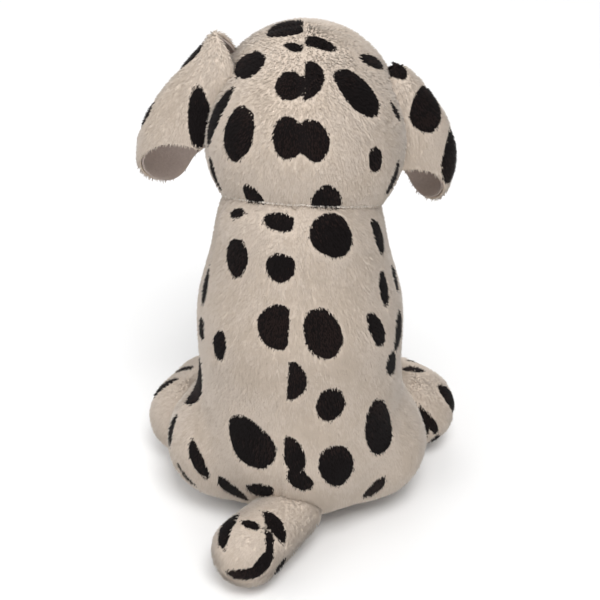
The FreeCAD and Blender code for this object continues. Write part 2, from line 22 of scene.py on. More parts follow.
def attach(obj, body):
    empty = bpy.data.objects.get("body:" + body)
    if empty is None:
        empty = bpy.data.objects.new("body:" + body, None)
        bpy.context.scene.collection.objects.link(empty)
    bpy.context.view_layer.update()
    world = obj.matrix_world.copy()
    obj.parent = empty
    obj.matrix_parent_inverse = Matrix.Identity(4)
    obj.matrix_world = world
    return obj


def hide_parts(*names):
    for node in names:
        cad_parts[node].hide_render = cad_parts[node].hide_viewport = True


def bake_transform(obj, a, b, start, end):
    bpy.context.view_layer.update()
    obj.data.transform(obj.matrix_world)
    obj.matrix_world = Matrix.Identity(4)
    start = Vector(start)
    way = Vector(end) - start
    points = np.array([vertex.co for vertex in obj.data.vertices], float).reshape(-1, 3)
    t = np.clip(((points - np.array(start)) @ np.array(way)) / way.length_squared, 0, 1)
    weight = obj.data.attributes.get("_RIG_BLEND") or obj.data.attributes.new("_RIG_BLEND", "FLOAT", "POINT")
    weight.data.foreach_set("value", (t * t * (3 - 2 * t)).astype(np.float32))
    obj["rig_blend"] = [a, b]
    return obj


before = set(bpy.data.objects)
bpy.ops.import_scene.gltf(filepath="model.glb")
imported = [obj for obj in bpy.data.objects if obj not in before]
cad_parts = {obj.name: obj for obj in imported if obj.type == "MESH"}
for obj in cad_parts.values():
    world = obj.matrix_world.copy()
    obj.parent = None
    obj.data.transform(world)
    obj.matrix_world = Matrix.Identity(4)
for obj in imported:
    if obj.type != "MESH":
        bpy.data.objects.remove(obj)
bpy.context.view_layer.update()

MM = 0.001
# Millimetres, except the two shares.
FAR_OFF = 150.0
SPOT_WOBBLE = 0.1
SPOT_DEPTH = 22.0
SEAM_GAP = 0.4
LEVEL_GROUND = 0.9
NO_SPOT = 50.0
LOG = logging.getLogger("plush_dog")

Triple = tuple[float, float, float]


class Side(Enum):
    """The dog's two sides, with the sign of their X."""

    LEFT = 1
    RIGHT = -1

    @property
    def word(self) -> str:
        """The side's name as the nodes spell it."""
        return self.name.lower()


# Numbers and vectors -------------------------------------------------------------------


def unit(vectors: np.ndarray) -> np.ndarray:
    """Vectors scaled to length one.

    Args:
        vectors: one vector, or an array of them in rows.

    Returns:
        The same array with each row's length made one.
    """
    length = np.linalg.norm(vectors, axis=-1, keepdims=True)
    return vectors / np.maximum(length, 1e-9)


def tangent_part(vectors: np.ndarray, normals: np.ndarray) -> np.ndarray:
    """The part of each vector that lies in the surface, as a unit vector.

    Args:
        vectors: directions, one row for each normal.
        normals: unit normals in rows.

    Returns:
        Unit vectors square to the normals.
    """
    across = np.sum(vectors * normals, axis=1, keepdims=True)
    return unit(vectors - across * normals)


def smooth_step(value: np.ndarray, low: float, high: float) -> np.ndarray:
    """A soft switch from 0 at low to 1 at high.

    Args:
        value: the numbers to switch on.
        low: where the result leaves 0.
        high: where the result reaches 1.

    Returns:
        Numbers from 0 to 1.
    """
    t = np.clip((value - low) / (high - low), 0.0, 1.0)
    return t * t * (3.0 - 2.0 * t)


# Forms ---------------------------------------------------------------------------------


@dataclass(frozen=True)
class Lobe:
    """A rounded lobe of stuffing: two balls and the cone that wraps them."""

    start: Triple
    start_radius: float
    end: Triple
    end_radius: float

    def distance(self, points: np.ndarray) -> np.ndarray:
        """Signed distance from the lobe's surface.

        Args:
            points: places in rows, in millimetres.

        Returns:
            Distances, below zero inside the lobe.
        """
        start, end = np.array(self.start), np.array(self.end)
        along = end - start
        square = float(along @ along)
        if square < 1e-6:
            return np.linalg.norm(points - start, axis=1) - self.start_radius
        taper = self.start_radius - self.end_radius
        slant = square - taper * taper
        inverse = 1.0 / square
        offset = points - start
        y = offset @ along
        z = y - square
        x_square = np.sum((offset * square - np.outer(y, along)) ** 2, axis=1)
        y_square, z_square = y * y * square, z * z * square
        k = math.copysign(taper * taper, taper) * x_square
        side = (np.sqrt(x_square * slant * inverse) + y * taper) * inverse - self.start_radius
        at_end = np.sqrt(x_square + z_square) * inverse - self.end_radius
        at_start = np.sqrt(x_square + y_square) * inverse - self.start_radius
        result = np.where(np.sign(y) * slant * y_square < k, at_start, side)
        return np.where(np.sign(z) * slant * z_square > k, at_end, result)

    def balls(self, count: int = 5) -> list[tuple[np.ndarray, float]]:
        """Balls strung along the lobe.

        Args:
            count: how many balls.

        Returns:
            A centre and a radius for each ball.
        """
        steps = np.linspace(0.0, 1.0, count)
        start, end = np.array(self.start), np.array(self.end)
        return [
            (start + (end - start) * t, self.start_radius + (self.end_radius - self.start_radius) * t)
            for t in steps
        ]


def ball(centre: Triple, radius: float) -> Lobe:
    """A lobe that is a single ball.

    Args:
        centre: its middle.
        radius: its radius.

    Returns:
        The lobe.
    """
    return Lobe(centre, radius, centre, radius)


@dataclass(frozen=True)
class Form:
    """Lobes that flow into each other, drawn in by an inset."""

    lobes: tuple[Lobe, ...]
    flow: float = 7.0
    inset: float = 1.0
    floor: float | None = None

    def distance(self, points: np.ndarray) -> np.ndarray:
        """Signed distance from the form's surface, in millimetres.

        Args:
            points: places in rows.

        Returns:
            Distances, below zero inside.
        """
        result = self.lobes[0].distance(points)
        for lobe in self.lobes[1:]:
            other = lobe.distance(points)
            overlap = np.maximum(self.flow - np.abs(result - other), 0.0) / self.flow
            result = np.minimum(result, other) - overlap * overlap * self.flow / 4.0
        return result + self.inset

    def normal(self, points: np.ndarray) -> np.ndarray:
        """The direction in which the distance grows fastest.

        Args:
            points: places in rows.

        Returns:
            Unit vectors in rows.
        """
        step = 0.2
        gradient = np.empty_like(points)
        for axis in range(3):
            nudge = np.zeros(3)
            nudge[axis] = step
            gradient[:, axis] = self.distance(points + nudge) - self.distance(points - nudge)
        return unit(gradient)

    def settle(self, points: np.ndarray, rounds: int = 6) -> np.ndarray:
        """Moves points onto the form's surface.

        Args:
            points: places near the surface, in rows.
            rounds: how many steps to take.

        Returns:
            Places on the surface.
        """
        settled = points.copy()
        for _ in range(rounds):
            settled -= self.distance(settled)[:, None] * self.normal(settled)
        if self.floor is not None:
            settled[:, 2] = np.maximum(settled[:, 2], self.floor)
        return settled

    def hit(self, middle: np.ndarray, heading: np.ndarray) -> np.ndarray:
        """Where the outside is met from a place inside, found by coming in from far off.

        Args:
            middle: the place inside.
            heading: the unit direction from it.

        Returns:
            The outermost place on the surface in that direction.
        """
        reach = FAR_OFF
        for _ in range(40):
            reach -= float(self.distance((middle + heading * reach)[None])[0])
        return middle + heading * reach


class MeshSurface:
    """A finished mesh's surface, asked in the same words as a form's."""

    def __init__(self, mesh: bpy.types.Mesh) -> None:
        """Reads the mesh once.

        Args:
            mesh: the mesh to stand for.
        """
        corners = [vertex.co / MM for vertex in mesh.vertices]
        self.tree = BVHTree.FromPolygons(corners, [tuple(face.vertices) for face in mesh.polygons])

    def settle(self, points: np.ndarray) -> np.ndarray:
        """The nearest places on the mesh.

        Args:
            points: places in rows.

        Returns:
            Places on the surface.
        """
        return np.array([tuple(self.tree.find_nearest(Vector(point))[0]) for point in points])

    def normal(self, points: np.ndarray) -> np.ndarray:
        """The mesh's normals at the nearest places.

        Args:
            points: places in rows.

        Returns:
            Unit vectors in rows.
        """
        return np.array([tuple(self.tree.find_nearest(Vector(point))[1]) for point in points])

    def hit(self, middle: np.ndarray, heading: np.ndarray) -> np.ndarray:
        """Where the outside is met from a place inside, found by coming in from far off.

        Args:
            middle: the place inside.
            heading: the unit direction from it.

        Returns:
            The outermost place on the mesh in that direction, or the mesh's nearest place to
            the middle where that way misses it.
        """
        start = middle + heading * FAR_OFF
        found = self.tree.ray_cast(Vector(start), Vector(-heading))[0]
        return np.array(found) if found else self.settle(middle[None])[0]


# Seams and spots -----------------------------------------------------------------------


@dataclass(frozen=True)
class Seam:
    """A sewn line: where a plane cuts the form, kept to one side of a second plane."""

    point: Triple
    normal: Triple
    side_point: Triple = (0.0, 0.0, 0.0)
    side_normal: Triple = (0.0, 0.0, 0.0)

    def distance(self, points: np.ndarray) -> np.ndarray:
        """How far each point is from the seam, in millimetres.

        Args:
            points: places in rows.

        Returns:
            Distances, zero on the seam.
        """
        plane = np.abs((points - np.array(self.point)) @ unit(np.array(self.normal)))
        away = np.maximum(-((points - np.array(self.side_point)) @ np.array(self.side_normal)), 0.0)
        return np.hypot(plane, away)


class Size(Enum):
    """The sizes that spots come in: full width and full length in millimetres."""

    DOT = (3.5, 4.5)
    CRUMB = (7.0, 8.5)
    FLECK = (5.0, 11.0)
    SLIVER = (4.5, 17.0)
    SMALL = (8.5, 12.5)
    MEDIUM = (10.0, 16.5)
    NARROW = (8.0, 18.0)
    STREAK = (9.0, 21.0)
    TALL = (11.5, 20.5)
    STRIPE = (10.0, 31.0)
    ROUND = (13.0, 14.5)
    OVAL = (14.0, 19.0)
    BROAD = (18.0, 22.5)
    LARGE = (17.0, 26.0)
    LONG = (19.0, 33.0)
    HUGE = (23.0, 30.0)


@dataclass(frozen=True)
class Spot:
    """A dark patch of pile, placed on its pattern's chart.

    Bearing is in degrees from straight behind the dog round towards its left. Level is what the
    chart says. Tilt turns the length away from upright, and clip cuts the patch straight at the
    centre seam.
    """

    bearing: float
    level: float
    size: Size
    tilt: float = 0.0
    clip: Side | None = None

    def distance(
        self, points: np.ndarray, centre: np.ndarray, normal: np.ndarray, seam: Seam | None
    ) -> np.ndarray:
        """Signed distance from the patch's outline, below zero inside the patch.

        Args:
            points: places on the surface, in rows.
            centre: the patch's middle on the surface.
            normal: the surface's normal there.
            seam: the seam that cuts a clipped patch.

        Returns:
            Distances in millimetres.
        """
        lies_flat = abs(normal[2]) > LEVEL_GROUND
        up = np.array([0.0, -1.0, 0.0]) if lies_flat else np.array([0.0, 0.0, 1.0])
        upright = tangent_part(up[None], normal[None])[0]
        across = np.cross(upright, normal)
        offset = points - centre
        turn = math.radians(self.tilt)
        u, v = offset @ across, offset @ upright
        x = u * math.cos(turn) + v * math.sin(turn)
        y = v * math.cos(turn) - u * math.sin(turn)
        half_width, half_length = (full / 2.0 for full in self.size.value)
        rng = np.random.default_rng(int(abs(self.bearing * 7.0 + self.level * 13.0)))
        angle = np.arctan2(y / half_length, x / half_width)
        ripple = sum(
            rng.uniform(0.4, 1.0) / turns * np.sin(turns * angle + rng.uniform(0, 2 * math.pi))
            for turns in (2, 3, 5)
        )
        reach = np.hypot(x / half_width, y / half_length) / (1.0 + SPOT_WOBBLE * ripple)
        result = (reach - 1.0) * min(half_width, half_length)
        result += np.maximum(np.abs(offset @ normal) - SPOT_DEPTH, 0.0) * 2.0
        if self.clip is not None and seam is not None:
            plane = (points - np.array(seam.point)) @ unit(np.array(seam.normal))
            result = np.maximum(result, SEAM_GAP - plane * self.clip.value)
        return result


@dataclass(frozen=True)
class Pattern:
    """Spots charted round a part's middle, as on a globe or round a post.

    On a globe a spot's level is its angle above the middle, in degrees. Where top is given, the
    chart is a post from the middle to the top, and a level is a height above the ground.
    """

    middle: Triple
    spots: tuple[Spot, ...]
    top: Triple | None = None

    def distance(
        self, points: np.ndarray, surface: Form | MeshSurface, seam: Seam | None
    ) -> np.ndarray:
        """Signed distance from the nearest spot's outline.

        Args:
            points: places on the surface, in rows.
            surface: the surface that the spots lie on.
            seam: the seam that cuts the clipped spots.

        Returns:
            Distances in millimetres, below zero inside a spot.
        """
        result = np.full(len(points), NO_SPOT)
        for spot in self.spots:
            turn, lift = math.radians(spot.bearing), math.radians(spot.level)
            start = np.array(self.middle)
            if self.top is not None:
                rise = np.array(self.top) - start
                start = start + rise * (spot.level - start[2]) / rise[2]
                lift = 0.0
            level = math.cos(lift)
            heading = np.array([math.sin(turn) * level, math.cos(turn) * level, math.sin(lift)])
            centre = surface.settle(surface.hit(start, heading)[None])
            normal = surface.normal(centre)[0]
            result = np.minimum(result, spot.distance(points, centre[0], normal, seam))
        return result


# Finishes ------------------------------------------------------------------------------


def linear(red: int, green: int, blue: int) -> tuple[float, float, float, float]:
    """A colour from its 0 to 255 display values.

    Args:
        red: the red value.
        green: the green value.
        blue: the blue value.

    Returns:
        Linear red, green and blue, and full opacity.
    """
    channels = [((value / 255.0 + 0.055) / 1.055) ** 2.4 for value in (red, green, blue)]
    return (channels[0], channels[1], channels[2], 1.0)


def add_node(
    tree: bpy.types.NodeTree, kind: str, inputs: dict | None = None, **settings: object
) -> bpy.types.Node:
    """Adds a node, sets it up and feeds its inputs.

    Args:
        tree: the node tree.
        kind: the node's type.
        inputs: a socket to link, or a value to set, for each input's name or number.
        **settings: the node's own settings, which are made before its inputs are fed.

    Returns:
        The new node.
    """
    node = tree.nodes.new(kind)
    for name, value in settings.items():
        setattr(node, name, value)
    for key, value in (inputs or {}).items():
        if isinstance(value, bpy.types.NodeSocket):
            tree.links.new(value, node.inputs[key])
        else:
            node.inputs[key].default_value = value
    return node


def blank_material(name: str, **values: object) -> tuple[bpy.types.Material, bpy.types.Node]:
    """A node material with only a shader and an output.

    Args:
        name: the material's name.
        **values: what to set on the shader, with underscores for the spaces in a socket's name.

    Returns:
        The material and its shader node.
    """
    material = bpy.data.materials.new(name)
    material.use_nodes = True
    shader = material.node_tree.nodes["Principled BSDF"]
    for key, value in values.items():
        shader.inputs[key.replace("_", " ")].default_value = value
    return material, shader


@dataclass(frozen=True)
class Pile:
    """Plain dyed pile, as one tuft of it looks."""

    name: str
    colour: tuple[float, float, float, float]
    roughness: float = 0.9
    sheen: float = 0.25

    def material(self) -> bpy.types.Material:
        """The pile's material.

        Returns:
            The new material.
        """
        material, _ = blank_material(
            self.name,
            Base_Color=self.colour,
            Roughness=self.roughness,
            Specular_IOR_Level=0.15,
            Sheen_Weight=self.sheen,
            Sheen_Roughness=0.5,
        )
        return material


@dataclass(frozen=True)
class SpottedCloth:
    """The cloth under the pile: pale, with dark patches where the spot distance is below zero."""

    name: str
    pale: tuple[float, float, float, float]
    shade: tuple[float, float, float, float]
    dark: tuple[float, float, float, float]
    grain: float = 420.0
    ragged: float = 0.8
    soft: float = 0.25

    def material(self) -> bpy.types.Material:
        """The spotted cloth's material, whose patches have a ragged edge.

        Returns:
            The new material.
        """
        material, shader = blank_material(self.name, Roughness=0.95, Specular_IOR_Level=0.15)
        tree = material.node_tree
        place = add_node(tree, "ShaderNodeTexCoord").outputs["Object"]
        noise = {"Scale": self.grain, "Detail": 4.0, "Vector": place}
        mottle = add_node(tree, "ShaderNodeTexNoise", noise).outputs["Fac"]
        blend = {"A": self.pale, "B": self.shade, "Factor": mottle}
        pale = add_node(tree, "ShaderNodeMix", blend, data_type="RGBA").outputs["Result"]
        spot = add_node(tree, "ShaderNodeAttribute", attribute_name="spot").outputs["Fac"]
        rag = {0: mottle, 1: 2.0 * self.ragged, 2: -self.ragged}
        ragged = add_node(tree, "ShaderNodeMath", rag, operation="MULTIPLY_ADD").outputs["Value"]
        total = add_node(tree, "ShaderNodeMath", {0: spot, 1: ragged}, operation="ADD")
        soft = {"Value": total.outputs["Value"], "From Min": self.soft, "From Max": -self.soft}
        edge = add_node(tree, "ShaderNodeMapRange", soft).outputs["Result"]
        patches = {"A": pale, "B": self.dark, "Factor": edge}
        colour = add_node(tree, "ShaderNodeMix", patches, data_type="RGBA").outputs["Result"]
        relief = {"Strength": 0.35, "Distance": 0.001, "Height": mottle}
        bump = add_node(tree, "ShaderNodeBump", relief).outputs["Normal"]
        tree.links.new(colour, shader.inputs["Base Color"])
        tree.links.new(bump, shader.inputs["Normal"])
        return material


@dataclass(frozen=True)
class Woven:
    """A smooth cloth or moulded finish with fine grain and a little colour drift."""

    name: str
    colour: tuple[float, float, float, float]
    second: tuple[float, float, float, float]
    scale: float = 900.0
    roughness: float = 0.85
    bump: float = 0.3
    sheen: float = 0.0
    coat: float = 0.0

    def material(self) -> bpy.types.Material:
        """The finish's material, with fine grain over a slow drift of colour.

        Returns:
            The new material.
        """
        material, shader = blank_material(
            self.name, Roughness=self.roughness, Sheen_Weight=self.sheen, Coat_Weight=self.coat
        )
        tree = material.node_tree
        place = add_node(tree, "ShaderNodeTexCoord").outputs["Object"]
        fine = {"Scale": self.scale, "Detail": 3.0, "Vector": place}
        grain = add_node(tree, "ShaderNodeTexNoise", fine).outputs["Fac"]
        slow = {"Scale": self.scale / 12.0, "Vector": place}
        drift = add_node(tree, "ShaderNodeTexNoise", slow).outputs["Fac"]
        both = add_node(tree, "ShaderNodeMath", {0: grain, 1: drift}, operation="ADD")
        stretch = {"Value": both.outputs["Value"], "From Min": 0.7, "From Max": 1.3}
        spread = add_node(tree, "ShaderNodeMapRange", stretch).outputs["Result"]
        blend = {"A": self.colour, "B": self.second, "Factor": spread}
        colour = add_node(tree, "ShaderNodeMix", blend, data_type="RGBA").outputs["Result"]
        relief = {"Strength": self.bump, "Distance": 0.0004, "Height": grain}
        bump = add_node(tree, "ShaderNodeBump", relief).outputs["Normal"]
        tree.links.new(colour, shader.inputs["Base Color"])
        tree.links.new(bump, shader.inputs["Normal"])
        return material


PALE_PLUSH = linear(213, 199, 185)
PALE_SHADE = linear(199, 184, 169)
BLACK_PLUSH = linear(22, 17, 17)

FINISHES = {
    "cloth": SpottedCloth("spotted_plush_cloth", PALE_PLUSH, PALE_SHADE, BLACK_PLUSH),
    "pale_pile": Pile("pale_pile", PALE_PLUSH),
    "warm_pile": Pile("warm_pile", linear(206, 191, 175)),
    "black_pile": Pile("black_pile", BLACK_PLUSH, sheen=0.05),
    "brown_black_pile": Pile("brown_black_pile", linear(36, 26, 24), sheen=0.05),
    "lining": Woven("ear_lining_cloth", linear(186, 172, 165), linear(172, 157, 150), sheen=0.2),
    "sole": Woven("sole_cloth", linear(206, 190, 178), linear(192, 175, 163), sheen=0.2),
    "thread": Woven("black_thread", linear(24, 21, 21), linear(40, 35, 34), 1500.0, 0.6),
    "pale_thread": Woven("pale_thread", linear(222, 214, 205), linear(205, 196, 186), 1500.0, 0.7),
    "eye": Woven("eye_plastic", linear(8, 6, 6), linear(20, 12, 9), 60.0, 0.14, 0.02),
    "nose": Woven("nose_plastic", linear(16, 14, 14), linear(26, 22, 22), 700.0, 0.38, 0.5),
    "fibre": Woven("stuffing_fibre", linear(236, 236, 233), linear(218, 218, 214), 300.0, 0.95, 0.8),
    "pouch": Woven("pouch_cloth", linear(214, 210, 200), linear(198, 192, 182), 1200.0, 0.9),
    "pellet": Woven("pellet_plastic", linear(220, 220, 222), linear(196, 196, 200), 350.0, 0.5),
    "washer": Woven("washer_plastic", linear(232, 232, 230), linear(214, 214, 212), 500.0, 0.45),
}

MATERIALS = {key: finish.material() for key, finish in FINISHES.items()}


# Mesh helpers --------------------------------------------------------------------------


def positions(mesh: bpy.types.Mesh) -> np.ndarray:
    """The places of a mesh's vertices.

    Args:
        mesh: the mesh to read.

    Returns:
        One row for each vertex, in millimetres.
    """
    flat = np.empty(len(mesh.vertices) * 3)
    mesh.vertices.foreach_get("co", flat)
    return flat.reshape(-1, 3) / MM


def set_positions(mesh: bpy.types.Mesh, points: np.ndarray) -> None:
    """Moves the mesh's vertices.

    Args:
        mesh: the mesh to change.
        points: one row for each vertex, in millimetres.
    """
    mesh.vertices.foreach_set("co", (points * MM).ravel())
    mesh.update()


def store(mesh: bpy.types.Mesh, name: str, values: np.ndarray) -> None:
    """Stores numbers or vectors on the mesh's vertices.

    Args:
        mesh: the mesh to change.
        name: the attribute's name.
        values: one number, or one row of three, for each vertex.
    """
    vector = values.ndim == 2
    kind = "FLOAT_VECTOR" if vector else "FLOAT"
    attribute = mesh.attributes.get(name) or mesh.attributes.new(name, kind, "POINT")
    attribute.data.foreach_set("vector" if vector else "value", values.astype(np.float32).ravel())


def show(name: str, mesh: bpy.types.Mesh) -> bpy.types.Object:
    """Puts a mesh in the scene as an object at the origin.

    Args:
        name: the object's name.
        mesh: its mesh.

    Returns:
        The new object.
    """
    thing = bpy.data.objects.new(name, mesh)
    bpy.context.scene.collection.objects.link(thing)
    return thing


def baked(thing: bpy.types.Object, name: str) -> bpy.types.Mesh:
    """The object's mesh with all its modifiers worked in.

    Args:
        thing: the object to read.
        name: the new mesh's name.

    Returns:
        A plain mesh.
    """
    graph = bpy.context.evaluated_depsgraph_get()
    mesh = bpy.data.meshes.new_from_object(thing.evaluated_get(graph), depsgraph=graph)
    mesh.name = name
    return mesh


def drop(thing: bpy.types.Object) -> None:
    """Removes an object and the mesh that only it used.

    Args:
        thing: the object to remove.
    """
    mesh = thing.data
    bpy.data.objects.remove(thing)
    if mesh.users == 0:
        bpy.data.meshes.remove(mesh)


def apply_modifiers(thing: bpy.types.Object) -> None:
    """Works the object's modifiers into its mesh and removes them.

    Args:
        thing: the object to change.
    """
    mesh = baked(thing, thing.name)
    old = thing.data
    thing.modifiers.clear()
    thing.data = mesh
    if old.users == 0:
        bpy.data.meshes.remove(old)


def shade_smooth(mesh: bpy.types.Mesh) -> None:
    """Makes every face shade smoothly.

    Args:
        mesh: the mesh to change.
    """
    mesh.polygons.foreach_set("use_smooth", np.ones(len(mesh.polygons), dtype=bool))
    mesh.update()


def shell_mesh(name: str, outer: np.ndarray, inner: np.ndarray, closed: bool) -> bpy.types.Mesh:
    """A closed shell between two grids of points, rounded at its rim.

    Args:
        name: the mesh's name.
        outer: the outer grid by row and column, in millimetres. Its first row is one point.
        inner: the inner grid, of the same size.
        closed: whether the last column joins the first.

    Returns:
        The mesh, with its faces outwards.
    """
    rows, width = outer.shape[:2]
    columns = width if closed else width - 1
    faces = []
    for base in (0, rows * width):
        for row in range(rows - 1):
            for column in range(columns):
                near, far = base + row * width, base + (row + 1) * width
                beside = (column + 1) % width
                faces.append((near + column, near + beside, far + beside, far + column))
    rim = [(rows - 1) * width + column for column in range(width)]
    if closed:
        rim.append(rim[0])
    else:
        rim = [row * width for row in range(rows - 1)] + rim
        rim += [row * width + width - 1 for row in reversed(range(rows - 1))]
    lower = rows * width
    faces += [(a, b, b + lower, a + lower) for a, b in zip(rim, rim[1:])]
    points = np.concatenate([outer.reshape(-1, 3), inner.reshape(-1, 3)])
    mesh = bpy.data.meshes.new(name)
    mesh.from_pydata((points * MM).tolist(), [], faces)
    tidy(mesh)
    thing = show(name, mesh)
    rounding = thing.modifiers.new("rounding", "SUBSURF")
    rounding.levels = 1
    apply_modifiers(thing)
    mesh = thing.data
    bpy.data.objects.remove(thing)
    shade_smooth(mesh)
    return mesh


def tidy(mesh: bpy.types.Mesh, merge: float = 0.02) -> None:
    """Merges doubled points, closes what is left open and points all faces outwards.

    Args:
        mesh: the mesh to change.
        merge: how near two points must be to become one, in millimetres.
    """
    work = bmesh.new()
    work.from_mesh(mesh)
    bmesh.ops.remove_doubles(work, verts=work.verts, dist=merge * MM)
    open_edges = [edge for edge in work.edges if edge.is_boundary]
    if open_edges:
        bmesh.ops.holes_fill(work, edges=open_edges)
    bmesh.ops.recalc_face_normals(work, faces=work.faces)
    work.to_mesh(mesh)
    work.free()
    shade_smooth(mesh)


# Stuffing ------------------------------------------------------------------------------


@dataclass(frozen=True)
class Stuffing:
    """How hard a skin is stuffed, and how fine its mesh is."""

    voxel: float = 4.5
    pressure: float = 4.0
    frames: int = 20
    cap: float = 2.0
    slack: float = 0.6
    seam_hold: float = 4.0

    def rough(self, name: str, form: Form) -> bpy.types.Object:
        """A closed mesh round the form, remeshed evenly and settled on its surface.

        Args:
            name: the object's name.
            form: the form to follow.

        Returns:
            The new object.
        """
        work = bmesh.new()
        for lobe in form.lobes:
            for centre, radius in lobe.balls():
                place = Matrix.Translation(Vector(centre * MM))
                bmesh.ops.create_icosphere(
                    work, subdivisions=3, radius=(radius - form.inset) * MM, matrix=place
                )
        mesh = bpy.data.meshes.new(name)
        work.to_mesh(mesh)
        work.free()
        thing = show(name, mesh)
        remesh = thing.modifiers.new("even", "REMESH")
        remesh.mode = "VOXEL"
        remesh.voxel_size = self.voxel * MM
        apply_modifiers(thing)
        tighter = Form(form.lobes, form.flow, form.inset + self.slack, form.floor)
        set_positions(thing.data, tighter.settle(positions(thing.data), 8))
        return thing

    def inflate(self, thing: bpy.types.Object, form: Form, seams: Sequence[Seam]) -> None:
        """Blows the skin up against its seams with a cloth simulation.

        Args:
            thing: the skin.
            form: the form it follows.
            seams: the lines that hold the skin in.
        """
        start = positions(thing.data)
        hold = np.zeros(len(start))
        for seam in seams:
            hold = np.maximum(hold, np.exp(-((seam.distance(start) / self.seam_hold) ** 2)))
        if form.floor is not None:
            hold = np.maximum(hold, smooth_step(-start[:, 2], -form.floor - 2.0, -form.floor))
        group = thing.vertex_groups.new(name="held")
        for index, weight in enumerate(hold):
            if weight > 0.02:
                group.add([index], float(weight), "REPLACE")
        cloth = thing.modifiers.new("stuffed", "CLOTH")
        cloth.settings.quality = 5
        cloth.settings.mass = 0.15
        cloth.settings.use_pressure = True
        cloth.settings.uniform_pressure_force = self.pressure
        cloth.settings.effector_weights.gravity = 0.0
        cloth.settings.vertex_group_mass = "held"
        cloth.collision_settings.use_collision = False
        cloth.point_cache.frame_start = 1
        cloth.point_cache.frame_end = self.frames
        for number in range(1, self.frames + 1):
            bpy.context.scene.frame_set(number)
        bpy.context.view_layer.update()
        grown = baked(thing, thing.name + "_grown")
        moved = positions(grown) - start
        length = np.linalg.norm(moved, axis=1, keepdims=True)
        limited = moved / np.maximum(1.0, length / self.cap)
        thing.modifiers.clear()
        thing.vertex_groups.clear()
        bpy.context.scene.frame_set(1)
        bpy.data.meshes.remove(grown)
        set_positions(thing.data, start + limited)

    def skin(self, name: str, form: Form, seams: Sequence[Seam]) -> bpy.types.Object:
        """A stuffed skin over the form.

        Args:
            name: the object's name.
            form: the form to follow.
            seams: the lines that hold the skin in.

        Returns:
            The skin, subdivided once.
        """
        thing = self.rough(name, form)
        self.inflate(thing, form, seams)
        subdivide = thing.modifiers.new("even_out", "SUBSURF")
        subdivide.levels = 1
        subdivide.render_levels = 1
        apply_modifiers(thing)
        return thing


# Pile ----------------------------------------------------------------------------------


def add_input(tree: bpy.types.NodeTree, name: str, kind: str, value: object) -> str:
    """Adds a named input to a node group.

    Args:
        tree: the node group.
        name: the input's name.
        kind: the socket's type.
        value: its default value, or None.

    Returns:
        The socket's identifier.
    """
    socket = tree.interface.new_socket(name=name, in_out="INPUT", socket_type=kind)
    if value is not None:
        socket.default_value = value
    return socket.identifier


